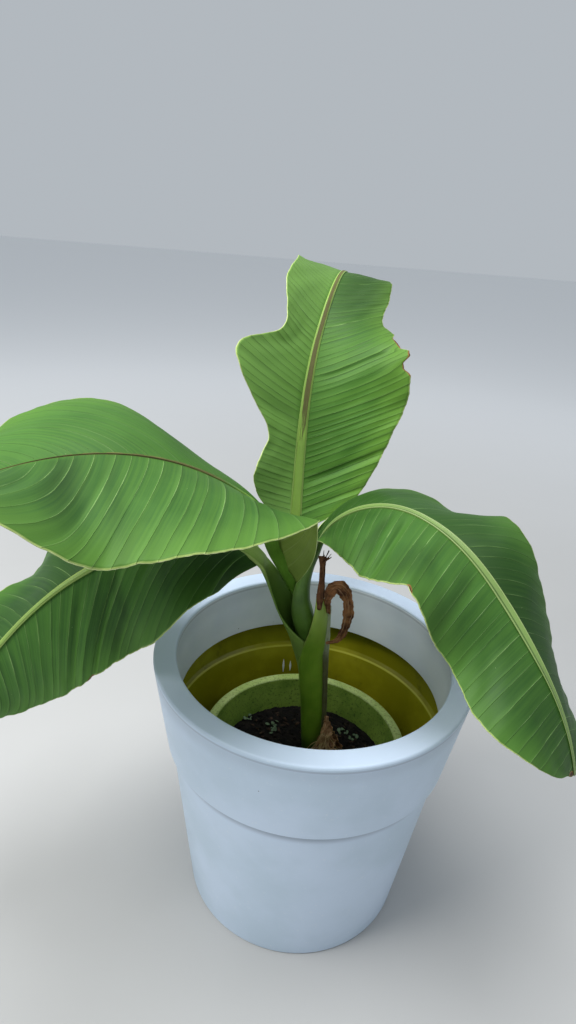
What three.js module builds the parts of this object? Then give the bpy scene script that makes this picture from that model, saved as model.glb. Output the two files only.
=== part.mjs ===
// A young banana plant in a nursery pot that stands inside a taller round planter.
// Millimetres, +Z up. The origin is the centre of the planter's underside, and +Y points away from
// the viewer.
import * as THREE from "three";

const X_AXIS = new THREE.Vector3(1, 0, 0);
const Y_AXIS = new THREE.Vector3(0, 1, 0);

// Gap between pieces that rest on each other.
const GAP = 0.4;

// Planter: a tapered body under a wider collar, with a flat rim that folds down inside as a short skirt.
const PLANTER = {
  height: 418,
  baseRadius: 165,
  floor: 5,
  wall: 4,
  collarFoot: 282,
  shoulderRadius: 199,
  collarFootRadius: 205,
  rimRadius: 225,
  rimInnerRadius: 193,
  skirtFoot: 333,
  skirtFootRadius: 188.5,
  skirtWall: 4,
  edgeRound: 3,
  lip: 1,
  collarRound: 1.5,
  segments: 48,
};

// Nursery pot inside it, a little off centre, and the soil that fills it.
const POT = {
  centre: new THREE.Vector2(-2, -1),
  top: 257,
  rimRadius: 154,
  rimInnerRadius: 140,
  rimDepth: 16,
  footRadius: 112,
  wall: 4,
  edgeRound: 3,
  lip: 1,
  segments: 40,
};
const SOIL_TOP = 208;
const SOIL_EDGE_DROP = 4;
const SOIL_SIDE_GAP = 1;
const SOIL_FLAT_SHARE = 0.75;

// Stem: the widths, depths and lean of the wrapped leaf sheaths at equal steps of height.
const STEM = {
  foot: SOIL_TOP + GAP,
  top: 405 - GAP,
  centreX: [14, 10.5, 7, 0, -7.5],
  centreY: [34, 35, 36, 37, 38],
  halfWidth: [15, 16.5, 19.5, 22.5, 26.5],
  halfDepth: [14.5, 15, 17, 18.5, 20],
  sides: 20,
  steps: 10,
};
const STALK_FOOT = 405;

// Leaves. A stalk goes from its foot on the stem, leaning, to the base of its blade, where it arrives
// along the rib. The lists run along the blade at equal steps: rise and heading steer the rib (in degrees,
// heading 0 along +X), roll turns the blade about it, fold lifts a half off the rib, droop bends it back
// towards its margin, and edge widens or narrows it.
const LEAVES = {
  back: {
    foot: [-12, 54],
    lean: [-8, 21, 54],
    arrive: 61,
    radii: [8.5, 9, 9, 8],
    base: [-40, 111, 549],
    length: 524,
    rise: [60, 72, 63, 48, 17, -37],
    heading: [101, 75, 79],
    roll: [10, 14],
    left: {
      width: 127,
      fold: [13, 44, 50, 44, 33, 2, 1],
      droop: [2, -10, 8],
      edge: [0.95, 1.15, 0.75, 1.35, 0.6, 0.7, 0.7, 1, 1],
    },
    right: {
      width: 137,
      fold: [23, 18, 15, 23, -1, 12, 0],
      droop: [2, 4, 12],
      edge: [1.25, 1.1, 1.05, 1.1, 1.05, 0.7, 0.8, 0.95, 1],
    },
  },
  right: {
    foot: [5, 42],
    lean: [-23, 4, 51],
    arrive: 76,
    radii: [8.5, 9, 10, 8],
    base: [-9, 47, 552],
    length: 542,
    rise: [75, 29, -15, -36, -47, -72],
    heading: [-24, -45, -50],
    roll: [8, -1],
    left: {
      width: 114,
      fold: [26, 12, -6, 28, 2, -15, 9],
      droop: [27, 30, 29],
      edge: [0.5, 0.9, 1.05, 0.75, 0.75, 1, 1.05],
    },
    right: {
      width: 132,
      fold: [16, 2, -1, 10, -21, 0, 15],
      droop: [12, 13, 8],
      edge: [0.5, 0.95, 1.05, 0.95, 0.8, 1.15, 1.25],
    },
  },
  left: {
    foot: [-8, 26],
    lean: [-16, -13, 81],
    arrive: 100,
    radii: [8.5, 10, 11.5, 9],
    base: [-67, -24, 618],
    length: 565,
    rise: [51, 34, 12, -12, -33, -49],
    heading: [220, 207, 184],
    roll: [6, -5],
    left: {
      width: 163,
      fold: [18, -2, -14, -13, 21, -23, -19],
      droop: [1, 6, 7],
      edge: [1.35, 1.15, 1, 1.05, 1, 1],
    },
    right: {
      width: 137,
      fold: [42, 23, 30, 24, 17, 27, 26],
      droop: [40, 35, 36],
      edge: [0.95, 0.85, 1.05, 0.95, 1, 1],
    },
  },
  lower: {
    foot: [-27, 37],
    lean: [-5, -10, 43],
    arrive: 32,
    radii: [8.5, 10, 11, 9],
    base: [-80, 21, 542],
    length: 565,
    rise: [51, 1, -25, -44, -53, -49],
    heading: [201, 197, 198],
    roll: [-5, -15],
    left: {
      width: 129,
      fold: [-46, 0, -36, -42, -56, -69],
      droop: [31, 31, 36],
      edge: [0.7, 1, 0.95, 0.95, 1, 1],
    },
    right: {
      width: 130,
      fold: [18, 17, 22, -8, 19, 9],
      droop: [11, 12, 12],
      edge: [0.7, 0.95, 1, 1, 1, 1],
    },
  },
};
const STALK_SIDES = 12;
const STALK_STEPS = 14;
const BLADE_THICKNESS = 7;
const BLADE_ROWS = 24;
const BLADE_COLUMNS = [0, 0.06, 0.28, 0.52, 0.76, 1];
const RIB_HALF_WIDTH = 6;
const RIB_KEEL = 9;
const RIB_KEEL_SHARE = 0.12;
const VEIN_SWEEP = 0.12;
const WIDEST_AT = 0.42;
const BASE_CURVE = { power: 2.2, fullness: 0.6 };
const TIP_CURVE = { power: 2.4, fullness: 0.75 };
const LINE_STEPS = 120;

// Dead parts on the right of the stem: the last sheath's tip, its dry stalk, a curled dry leaf and a husk.
const SHEATH_TIP = 474;
const OLD_SHEATH = { foot: [13, 24, STALK_FOOT], tip: [5, 16, SHEATH_TIP], radii: [9.5, 6] };
const DEAD_STALK = { foot: [5, 16, SHEATH_TIP + GAP], tip: [0, 18, 550], radii: [4.5, 3] };
const DRY_SIDES = 10;
const DRY_STEPS = 6;
const DEAD_LEAF = {
  route: [
    [10.2, 16.5, 493],
    [15, 17, 506],
    [21, 18, 519],
    [31, 18, 521],
    [43, 18, 508],
    [50, 18, 480],
    [46, 18, 444],
    [36, 18, 420],
    [21, 18, 416],
  ],
  halfWidths: [5, 8, 9, 8, 7, 5, 4],
  halfDepths: [2, 2, 3, 3, 3, 3, 3],
  steps: 24,
};
const HUSK = {
  foot: [46, 20, SOIL_TOP + GAP],
  tip: [27.5, 20, 283],
  halfWidths: [18, 12, 3],
  halfDepths: [9, 5, 2],
};
const HUSK_SIDES = 12;
const HUSK_STEPS = 8;

const COLOURS = {
  planter: { color: 0xd3dae1, roughness: 0.5 },
  pot: { color: 0x8fa35a, roughness: 0.6 },
  soil: { color: 0x2c2622, roughness: 0.95 },
  stem: { color: 0x5f8038, roughness: 0.5 },
  leaf: { color: 0x4f8a38, roughness: 0.45 },
  old_sheath: { color: 0x8fa06a, roughness: 0.6 },
  dead_leaf: { color: 0x6e4a32, roughness: 0.85 },
};

const plant = new THREE.Group();

function addPiece(name, geometry, look) {
  const mesh = new THREE.Mesh(geometry, new THREE.MeshStandardMaterial({ ...COLOURS[look], metalness: 0 }));
  mesh.name = name;
  plant.add(mesh);
  return mesh;
}

function radians(degrees) {
  return THREE.MathUtils.degToRad(degrees);
}

// Value at a share from 0 to 1 of a list of equally spaced values, on a Catmull-Rom curve through them.
function along(values, share) {
  const last = values.length - 1;
  const place = THREE.MathUtils.clamp(share, 0, 1) * last;
  const i = Math.min(Math.floor(place), last - 1);
  const u = place - i;
  const here = values[i];
  const next = values[i + 1];
  const before = i > 0 ? values[i - 1] : 2 * here - next;
  const after = i + 2 <= last ? values[i + 2] : 2 * next - here;
  const slope = next - before;
  const second = 2 * before - 5 * here + 4 * next - after;
  const third = 3 * here - before - 3 * next + after;
  return 0.5 * (2 * here + slope * u + second * u * u + third * u ** 3);
}

// A body turned about the Z axis from a profile of [radius, height] pairs.
function turned(profile, segments) {
  const points = profile.map(([radius, height]) => new THREE.Vector2(radius, height));
  return new THREE.LatheGeometry(points, segments).rotateX(Math.PI / 2);
}

function geometryOf(points, faces) {
  const geometry = new THREE.BufferGeometry();
  geometry.setFromPoints(points);
  geometry.setIndex(faces);
  geometry.computeVertexNormals();
  return geometry;
}

// A closed tube through rings of equally many points, with flat ends.
function closedTube(rings) {
  const sides = rings[0].length;
  const points = rings.flat();
  const faces = [];
  for (let ring = 0; ring + 1 < rings.length; ring += 1) {
    for (let side = 0; side < sides; side += 1) {
      const a = ring * sides + side;
      const b = ring * sides + ((side + 1) % sides);
      faces.push(a, b, b + sides, a, b + sides, a + sides);
    }
  }
  const centreOf = (ring) => {
    const centre = new THREE.Vector3();
    ring.forEach((point) => centre.add(point));
    return centre.divideScalar(sides);
  };
  const foot = points.push(centreOf(rings[0])) - 1;
  const tip = points.push(centreOf(rings.at(-1))) - 1;
  const tipRing = (rings.length - 1) * sides;
  for (let side = 0; side < sides; side += 1) {
    const next = (side + 1) % sides;
    faces.push(foot, next, side, tip, tipRing + side, tipRing + next);
  }
  return geometryOf(points, faces);
}

// An oval ring round a centre, wide along one direction and deep along another.
function ovalRing(centre, wideAxis, deepAxis, halfWidth, halfDepth, sides) {
  return Array.from({ length: sides }, (_, side) => {
    const angle = (2 * Math.PI * side) / sides;
    const wide = wideAxis.clone().multiplyScalar(halfWidth * Math.cos(angle));
    const deep = deepAxis.clone().multiplyScalar(halfDepth * Math.sin(angle));
    return centre.clone().add(wide).add(deep);
  });
}

// The flat-footed ring: each point slides along the limb until it lies in the plane of the foot.
function flattened(ring, forward, height) {
  return ring.map((point) => point.clone().addScaledVector(forward, (height - point.z) / forward.z));
}

// The planter, one moulding: outside from the base up to the rim, skirt, then inside down to the floor.
function planterGeometry() {
  const p = PLANTER;
  const r = p.edgeRound;
  const underRim = p.height - p.wall - p.lip;
  return turned(
    [
      [0, 0],
      [p.baseRadius - r, 0],
      [p.baseRadius, r],
      [p.shoulderRadius, p.collarFoot],
      [p.collarFootRadius - p.lip, p.collarFoot],
      [p.collarFootRadius, p.collarFoot + p.collarRound],
      [p.rimRadius, p.height - r],
      [p.rimRadius - p.lip, p.height - p.lip],
      [p.rimRadius - r, p.height],
      [p.rimInnerRadius + r, p.height],
      [p.rimInnerRadius, p.height - r],
      [p.skirtFootRadius, p.skirtFoot],
      [p.skirtFootRadius + p.skirtWall, p.skirtFoot],
      [p.rimInnerRadius + p.skirtWall, underRim],
      [p.rimRadius - p.wall - 2 * p.lip, underRim],
      [p.collarFootRadius - p.wall, p.collarFoot + 2 * p.lip],
      [p.shoulderRadius - p.wall, p.collarFoot - p.wall],
      [p.baseRadius - p.wall, p.floor],
      [0, p.floor],
    ],
    p.segments,
  );
}

// Inner radius of the nursery pot's wall at a height.
function potInnerRadius(height) {
  const foot = PLANTER.floor + GAP + POT.wall;
  const share = (height - foot) / (POT.top - foot);
  return THREE.MathUtils.lerp(POT.footRadius - POT.wall, POT.rimInnerRadius, share);
}

function potGeometry() {
  const foot = PLANTER.floor + GAP;
  const rimFoot = POT.top - POT.rimDepth;
  const r = POT.edgeRound;
  return turned(
    [
      [0, foot],
      [POT.footRadius, foot],
      [potInnerRadius(rimFoot) + POT.wall, rimFoot],
      [POT.rimRadius - POT.lip, rimFoot],
      [POT.rimRadius, POT.top - r - POT.lip],
      [POT.rimRadius - r, POT.top],
      [POT.rimInnerRadius + r, POT.top],
      [POT.rimInnerRadius, POT.top - r],
      [potInnerRadius(foot + POT.wall), foot + POT.wall],
      [0, foot + POT.wall],
    ],
    POT.segments,
  ).translate(POT.centre.x, POT.centre.y, 0);
}

function soilGeometry() {
  const foot = PLANTER.floor + GAP + POT.wall + GAP;
  const edge = SOIL_TOP - SOIL_EDGE_DROP;
  return turned(
    [
      [0, foot],
      [potInnerRadius(foot) - SOIL_SIDE_GAP, foot],
      [potInnerRadius(edge) - SOIL_SIDE_GAP, edge],
      [SOIL_FLAT_SHARE * potInnerRadius(edge), SOIL_TOP],
      [0, SOIL_TOP],
    ],
    POT.segments,
  ).translate(POT.centre.x, POT.centre.y, 0);
}

function stemGeometry() {
  const rings = [];
  for (let step = 0; step <= STEM.steps; step += 1) {
    const share = step / STEM.steps;
    const height = THREE.MathUtils.lerp(STEM.foot, STEM.top, share);
    const centre = new THREE.Vector3(along(STEM.centreX, share), along(STEM.centreY, share), height);
    const halfWidth = along(STEM.halfWidth, share);
    const halfDepth = along(STEM.halfDepth, share);
    rings.push(ovalRing(centre, X_AXIS, Y_AXIS, halfWidth, halfDepth, STEM.sides));
  }
  return closedTube(rings);
}

// The direction that a rise and a heading in degrees give.
function directionOf(rise, heading) {
  const level = Math.cos(radians(rise));
  const turn = radians(heading);
  return new THREE.Vector3(level * Math.cos(turn), level * Math.sin(turn), Math.sin(radians(rise)));
}

// The line of a blade's rib from its base to its tip, as points at equal steps.
function ribLine(leaf) {
  const step = leaf.length / LINE_STEPS;
  const points = [new THREE.Vector3(...leaf.base)];
  for (let i = 0; i < LINE_STEPS; i += 1) {
    const share = (i + 0.5) / LINE_STEPS;
    const direction = directionOf(along(leaf.rise, share), along(leaf.heading, share));
    points.push(points[i].clone().addScaledVector(direction, step));
  }
  return points;
}

// Place and directions on a rib's line at a share of its length: forward, side (to the left) and up.
function frameOn(leaf, line, share) {
  const place = THREE.MathUtils.clamp(share, 0, 1) * LINE_STEPS;
  const i = Math.min(Math.floor(place), LINE_STEPS - 1);
  const at = line[i].clone().lerp(line[i + 1], place - i);
  const heading = along(leaf.heading, share);
  const forward = directionOf(along(leaf.rise, share), heading);
  const side = directionOf(0, heading + 90);
  side.applyAxisAngle(forward, radians(along(leaf.roll, share)));
  const up = forward.clone().cross(side);
  return { at, forward, side, up };
}

// Share of its greatest width that a blade has at a share of its length: a round base and a blunt tip.
function bladeOutline(share) {
  if (share < WIDEST_AT) {
    const back = (WIDEST_AT - share) / WIDEST_AT;
    return (1 - back ** BASE_CURVE.power) ** BASE_CURVE.fullness;
  }
  const ahead = Math.min(1, (share - WIDEST_AT) / (1 - WIDEST_AT));
  return (1 - ahead ** TIP_CURVE.power) ** TIP_CURVE.fullness;
}

// Top and bottom point of a blade at a share of its length and from -1 (right margin) to 1 (left margin).
function bladePoints(leaf, line, share, across) {
  const { at, forward, side, up } = frameOn(leaf, line, share);
  const half = across < 0 ? leaf.right : leaf.left;
  const sign = across < 0 ? -1 : 1;
  const out = Math.abs(across);
  const width = Math.max(half.width * bladeOutline(share) * along(half.edge, share), RIB_HALF_WIDTH);
  const fold = radians(along(half.fold, share));
  const droop = radians(along(half.droop, share)) || radians(1);
  const slope = fold - droop * out;
  const scale = width / Math.hypot(1, VEIN_SWEEP);
  const sideways = (scale * (Math.sin(fold) - Math.sin(slope))) / droop;
  const lift = (scale * (Math.cos(slope) - Math.cos(fold))) / droop;
  const point = at
    .addScaledVector(side, sign * sideways)
    .addScaledVector(up, lift)
    .addScaledVector(forward, scale * VEIN_SWEEP * out);
  const normal = up.clone();
  if (out > 0) normal.multiplyScalar(Math.cos(slope)).addScaledVector(side, -sign * Math.sin(slope));
  const keel = RIB_KEEL * (1 - share) * Math.max(0, 1 - out / RIB_KEEL_SHARE);
  const top = point.clone().addScaledVector(normal, BLADE_THICKNESS / 2);
  const bottom = point.clone().addScaledVector(normal, -BLADE_THICKNESS / 2 - keel);
  return { top, bottom };
}

// A blade as a closed plate of even thickness with a keel under its rib.
function bladeGeometry(leaf) {
  const line = ribLine(leaf);
  const columns = [...BLADE_COLUMNS.slice(1).reverse().map((out) => -out), ...BLADE_COLUMNS];
  const rings = [];
  for (let row = 0; row <= BLADE_ROWS; row += 1) {
    const share = (1 - Math.cos((Math.PI * row) / BLADE_ROWS)) / 2;
    const pairs = columns.map((across) => bladePoints(leaf, line, share, across));
    const tops = pairs.map((pair) => pair.top);
    const bottoms = pairs.map((pair) => pair.bottom).reverse();
    rings.push([...bottoms, ...tops]);
  }
  return plateOf(rings, columns.length);
}

// Joins rings that run over the bottom and back over the top, and closes both ends with strips.
function plateOf(rings, columns) {
  const around = 2 * columns;
  const faces = [];
  for (let row = 0; row + 1 < rings.length; row += 1) {
    for (let i = 0; i < around; i += 1) {
      const a = row * around + i;
      const b = row * around + ((i + 1) % around);
      faces.push(a, b + around, b, a, a + around, b + around);
    }
  }
  const tip = (rings.length - 1) * around;
  for (let i = 0; i + 1 < columns; i += 1) {
    const j = around - 1 - i;
    faces.push(i, i + 1, j, i + 1, j - 1, j);
    faces.push(tip + i, tip + j, tip + i + 1, tip + i + 1, tip + j, tip + j - 1);
  }
  return geometryOf(rings.flat(), faces);
}

// A limb along a curve, with half sizes along a wide axis and across it, and a level end where it meets
// another piece.
function limbGeometry({ curve, halfWidths, halfDepths, wideAxis, levelFoot, levelTip, sides, steps }) {
  const rings = [];
  for (let step = 0; step <= steps; step += 1) {
    const share = step / steps;
    const centre = curve.getPointAt(share);
    const forward = curve.getTangentAt(share);
    const wide = wideAxis.clone().addScaledVector(forward, -wideAxis.dot(forward)).normalize();
    const deep = forward.clone().cross(wide);
    const ring = ovalRing(centre, wide, deep, along(halfWidths, share), along(halfDepths, share), sides);
    const isLevel = (step === 0 && levelFoot) || (step === steps && levelTip);
    rings.push(isLevel ? flattened(ring, forward, centre.z) : ring);
  }
  return closedTube(rings);
}

function curveThrough(route) {
  return new THREE.CatmullRomCurve3(route.map((point) => new THREE.Vector3(...point)));
}

function stalkGeometry(leaf) {
  const foot = new THREE.Vector3(leaf.foot[0], leaf.foot[1], STALK_FOOT);
  const base = new THREE.Vector3(...leaf.base);
  const arrival = directionOf(leaf.rise[0], leaf.heading[0]);
  const leaning = foot.clone().add(new THREE.Vector3(...leaf.lean));
  const arriving = base.clone().addScaledVector(arrival, -leaf.arrive);
  const end = base.clone().addScaledVector(arrival, -GAP);
  return limbGeometry({
    curve: new THREE.CubicBezierCurve3(foot, leaning, arriving, end),
    halfWidths: leaf.radii,
    halfDepths: leaf.radii,
    wideAxis: directionOf(0, leaf.heading[0] + 90),
    levelFoot: true,
    levelTip: false,
    sides: STALK_SIDES,
    steps: STALK_STEPS,
  });
}

// A straight dry limb that stands on another and carries one.
function straightLimb({ foot, tip, radii }) {
  return limbGeometry({
    curve: curveThrough([foot, tip]),
    halfWidths: radii,
    halfDepths: radii,
    wideAxis: X_AXIS,
    levelFoot: true,
    levelTip: true,
    sides: DRY_SIDES,
    steps: DRY_STEPS,
  });
}

function deadLeafGeometry() {
  return limbGeometry({
    curve: curveThrough(DEAD_LEAF.route),
    halfWidths: DEAD_LEAF.halfWidths,
    halfDepths: DEAD_LEAF.halfDepths,
    wideAxis: Y_AXIS,
    levelFoot: false,
    levelTip: false,
    sides: DRY_SIDES,
    steps: DEAD_LEAF.steps,
  });
}

function huskGeometry() {
  return limbGeometry({
    curve: curveThrough([HUSK.foot, HUSK.tip]),
    halfWidths: HUSK.halfWidths,
    halfDepths: HUSK.halfDepths,
    wideAxis: X_AXIS,
    levelFoot: true,
    levelTip: true,
    sides: HUSK_SIDES,
    steps: HUSK_STEPS,
  });
}

addPiece("planter", planterGeometry(), "planter");
addPiece("inner_pot", potGeometry(), "pot");
addPiece("soil", soilGeometry(), "soil");
addPiece("stem", stemGeometry(), "stem");
for (const [name, leaf] of Object.entries(LEAVES)) {
  addPiece(`stalk_${name}`, stalkGeometry(leaf), "stem");
  addPiece(`leaf_${name}`, bladeGeometry(leaf), "leaf");
}
addPiece("old_sheath", straightLimb(OLD_SHEATH), "old_sheath");
addPiece("dead_stalk", straightLimb(DEAD_STALK), "dead_leaf");
addPiece("dead_leaf", deadLeafGeometry(), "dead_leaf");
addPiece("base_husk", huskGeometry(), "dead_leaf");

export default plant;
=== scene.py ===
import math

import bmesh
import bpy
import numpy as np
from mathutils import Matrix, Vector


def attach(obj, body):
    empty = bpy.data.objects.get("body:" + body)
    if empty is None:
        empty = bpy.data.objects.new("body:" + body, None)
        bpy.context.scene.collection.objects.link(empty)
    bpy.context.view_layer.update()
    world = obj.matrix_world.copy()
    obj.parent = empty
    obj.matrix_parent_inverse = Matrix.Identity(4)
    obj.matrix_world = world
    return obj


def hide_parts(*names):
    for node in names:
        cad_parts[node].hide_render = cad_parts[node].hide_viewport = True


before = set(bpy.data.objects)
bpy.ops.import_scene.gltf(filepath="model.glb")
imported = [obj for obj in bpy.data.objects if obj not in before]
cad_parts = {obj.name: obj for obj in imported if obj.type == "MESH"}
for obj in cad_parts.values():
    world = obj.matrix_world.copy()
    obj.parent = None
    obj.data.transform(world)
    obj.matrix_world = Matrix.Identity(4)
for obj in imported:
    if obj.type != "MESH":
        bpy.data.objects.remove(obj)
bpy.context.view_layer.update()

MM = 0.001

# The photograph's camera: its place, how far it looks down, its roll in degrees and its lens.
CAMERA_PLACE = (-52.46, -810.69, 998.88)
CAMERA_DOWN = 24.563
CAMERA_ROLL = 4.548
CAMERA_LENS = 24.25
SENSOR_WIDTH = 36

# The stage, in metres: a grey floor that turns paler between two distances, the sky and two lamps, each
# with its place, what it points at, its size, its watts and its colour.
FLOOR_REACH = 12
FLOOR_GREYS = ((0.5, 0.5, 0.49, 1), (0.54, 0.54, 0.53, 1))
FLOOR_PALER = (0.9, 3.5)
FLOOR_FAR = (0.9, 0.91, 0.92, 1)
SKY_COLOUR = (0.86, 0.93, 1.0, 1)
SKY_STRENGTH = 0.52
LAMPS = {
    "key": ((-1.9, -0.8, 2.4), (0, 0, 0.5), 1.7, 60, (1.0, 0.98, 0.95)),
    "top": ((-0.3, -0.1, 2.9), (0, 0, 0.4), 1.6, 50, (0.97, 0.98, 1.0)),
}

# Planter: its profile as radius, height and corner rounding, outside first, then skirt and inside.
PLANTER_OUTSIDE = [
    (0, 0, 0),
    (165, 0, 4),
    (199, 282, 0.6),
    (205, 282, 1.6),
    (225, 418, 4.5),
    (193, 418, 3.5),
    (188.5, 333, 1.4),
    (192.5, 333, 1.4),
]
PLANTER_INSIDE = [(197, 413, 0), (219, 413, 0), (202, 289, 1), (196, 282, 1.5), (161, 5, 6), (0, 5, 0)]
RIDGE_HEIGHT = 283
PLANTER_STEPS = 128
SHARP_ANGLE = 9

# Where the planter's finishes change: the olive inside ends below the skirt's foot and behind the skirt, and
# the skirt has painted light, a lighter copy of the outside's finish, up to the rim's rounding. The ledge is
# the step inside the collar's foot.
OLIVE_TOP = 331
OLIVE_TOP_BEHIND = 412
SKIRT_BACK = 193.6
SKIRT_TOP = 415
LEDGE_TOP = 300
LEDGE_RADIUS = 204

# Bands of painted shade and painted highlight on the planter, each as the heights that it fades in or out
# between.
COLLAR_SHADE_BAND = (262, 275.5)
COLLAR_EDGE = (282.2, 282.8)
RIM_SHADE_BAND = (380, 406)
RIM_FOOT = (406, 412)
RIM_SHADE_LINE = 410.5
RIM_SHADE_LINE_FADE = (0.8, 2.6)
RIM_TOP_HIGHLIGHT = (416.4, 417.8)
INSIDE_SHADE = (300, 340)
LEDGE_HIGHLIGHT_FADE = (0.8, 2)

# Slits in the inner wall: each as its place to the side, its height and half its length, then half their
# width, how far in front of the wall they lie, and the wall's radius and height at its foot and its top.
LIGHT_SLITS = [(-39, 245, 13), (-27, 244, 10)]
SLIT_HALF_WIDTH = 1.9
SLIT_NARROWING = 0.45
SLIT_CLEARANCE = 0.5
SLIT_THICKNESS = 0.6
SLIT_WALL = ((161, 5), (195, 278))

# Nursery pot and soil. A plantlet has its place, its number of leaflets and how far they spread.
POT_CENTRE = (-2, -1)
POT_PROFILE = [
    (0, 5.4, 0),
    (112, 5.4, 3),
    (142.2, 241, 0.8),
    (153, 241, 1.2),
    (154, 257, 2.6),
    (140, 257, 2.6),
    (108.1, 9.4, 3),
    (0, 9.4, 0),
]
POT_STEPS = 96
POT_RIM_FOOT = 253.5
SOIL_TOP = 208
SOIL_RADIUS = 132
SOIL_EDGE_DROP = 4
SOIL_MOUND = {"place": (14, 32), "height": 5, "reach": 42}
SOIL_DEPTH = 18
SOIL_STEPS = 150
STEM_ON_SOIL = (16, 35)
STEM_CLEARANCE = 17
CRUMB_COUNT = 520
CHIP_COUNT = 130
PLANTLETS = [(-54, 65, 9, 11), (-44, 74, 5, 7), (-92, 92, 6, 8), (66, 69, 8, 9), (82, 57, 6, 8)]

# Stem: the lean and the widths of the wrapped sheaths at equal steps of height.
STEM_FOOT = 203
STALK_FOOT = 405
STEM_X = [14, 10.5, 7, 0, -7.5]
STEM_Y = [34, 35, 36, 37, 38]
STEM_LEAN = (-0.15, 0.02)

# Leaves, close to the solid model's: a stalk from its foot on the stem to the base of its blade, then lists
# along the blade for the rib's rise and heading, the blade's roll, and each half's shape.
LEAVES = {
    "back": {
        "foot": (-12, 54),
        "leaning": (-20, 75, 459),
        "arriving": (-34, 81, 496),
        "base": (-40, 111, 549),
        "length": 524,
        "rise": [60, 72, 63, 48, 17, -37],
        "heading": [101, 75, 79],
        "roll": [10, 14],
        "left": {
            "width": 127,
            "fold": [13, 44, 50, 44, 33, 2, 1],
            "droop": [2, -10, 8],
            "edge": [0.95, 1.15, 0.75, 1.35, 0.6, 0.7, 0.7, 1, 1],
        },
        "right": {
            "width": 137,
            "fold": [23, 18, 15, 23, -1, 12, 0],
            "droop": [2, 4, 12],
            "edge": [1.42, 1.12, 1.05, 1.1, 1.05, 0.7, 0.8, 0.95, 1],
        },
    },
    "right": {
        "foot": (0, 30),
        "leaning": (-30, 26, 456),
        "arriving": (-34, 26, 510),
        "base": (-9, 47, 552),
        "length": 542,
        "rise": [75, 29, -15, -36, -47, -72],
        "heading": [-24, -45, -50],
        "roll": [8, -1],
        "left": {
            "width": 114,
            "fold": [34, 12, -6, 28, 2, -15, 9],
            "droop": [27, 30, 29],
            "edge": [0.85, 0.9, 1.05, 0.75, 0.75, 1, 1.05],
        },
        "right": {
            "width": 132,
            "fold": [16, 2, -1, 10, -21, 0, 15],
            "droop": [12, 13, 8],
            "edge": [0.5, 0.95, 1.05, 0.95, 0.8, 1.15, 1.25],
        },
    },
    "left": {
        "foot": (-10, 50),
        "leaning": (-4, 75, 478),
        "arriving": (-90, 14, 568),
        "base": (-67, -24, 618),
        "length": 565,
        "rise": [51, 34, 12, -12, -33, -49],
        "heading": [220, 207, 184],
        "roll": [6, -5],
        "left": {
            "width": 163,
            "fold": [18, -2, -14, -13, 21, -23, -19],
            "droop": [1, 6, 7],
            "edge": [1.35, 1.15, 1, 1.05, 1, 1],
        },
        "right": {
            "width": 137,
            "fold": [42, 23, 30, 24, 17, 27, 26],
            "droop": [40, 35, 36],
            "edge": [0.95, 0.85, 1.05, 0.95, 1, 1],
        },
    },
    "lower": {
        "foot": (-27, 37),
        "leaning": (-32, 27, 448),
        "arriving": (-61, 28, 517),
        "base": (-80, 21, 542),
        "length": 565,
        "rise": [51, 1, -25, -44, -53, -49],
        "heading": [201, 197, 198],
        "roll": [-5, -15],
        "left": {
            "width": 129,
            "fold": [-46, 0, -36, -42, -56, -69],
            "droop": [31, 31, 36],
            "edge": [0.7, 1, 0.95, 0.95, 1, 1],
        },
        "right": {
            "width": 130,
            "fold": [18, 17, 22, -8, 19, 9],
            "droop": [11, 12, 12],
            "edge": [0.7, 0.95, 1, 1, 1, 1],
        },
    },
}

# A blade's outline: how far its veins lean to the tip, the share of its length where it is widest, and the
# power and fullness of its curves to the base and to the tip. Then the steps of its line and its grid.
VEIN_SWEEP = 0.12
WIDEST_AT = 0.42
BASE_CURVE = (2.2, 0.6)
TIP_CURVE = (2.4, 0.75)
LINE_STEPS = 240
BLADE_ROWS = 540
BLADE_COLUMNS = 56
BLADE_THICKNESS = 1.1
LEAST_HALF_WIDTH = 2.5
LEAST_DROOP = 0.01

# How uneven the blades are: columns closer at the margin, ripples of the margin, drift and sizes of the
# pleats, and waves and billows in millimetres.
MARGIN_CROWDING = 0.9
RIPPLE = 0.006
VEIN_DRIFT = 0.22
PLEAT_SIZES = (0.35, 1.2)
MARGIN_WAVE = 2.2
BILLOW = 1.6

# How each blade's veins lie: their spacing along the rib, how high they stand, how far they sweep to the
# tip on the left and right halves, a seed, and creases along a vein (share, half, height, width).
VEINS = {
    "back": {
        "spacing": 9.5,
        "height": 0.8,
        "sweep": (0.03, 0.27),
        "seed": 3,
        "creases": [(0.13, -1, -4, 7), (0.05, -1, -2, 5), (0.3, 1, -3, 12), (0.42, -1, -2, 8)],
    },
    "right": {
        "spacing": 17,
        "height": 0.6,
        "sweep": (0.25, 0.12),
        "seed": 5,
        "creases": [(0.285, -1, -3, 5), (0.33, -1, -3.5, 5), (0.42, -1, 3, 9), (0.54, -1, -3, 10)],
    },
    "left": {
        "spacing": 19,
        "height": 0.8,
        "sweep": (0.34, 0.8),
        "seed": 8,
        "creases": [(0.565, 1, -3.5, 9), (0.53, 1, 2, 8), (0.44, 1, -1.5, 8)],
    },
    "lower": {
        "spacing": 21,
        "height": 0.9,
        "sweep": (0.6, 0.3),
        "seed": 11,
        "creases": [(0.46, 1, -4, 9), (0.36, 1, -3.5, 9), (0.41, 1, 2.5, 9), (0.27, 1, -3, 10)],
    },
}
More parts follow.
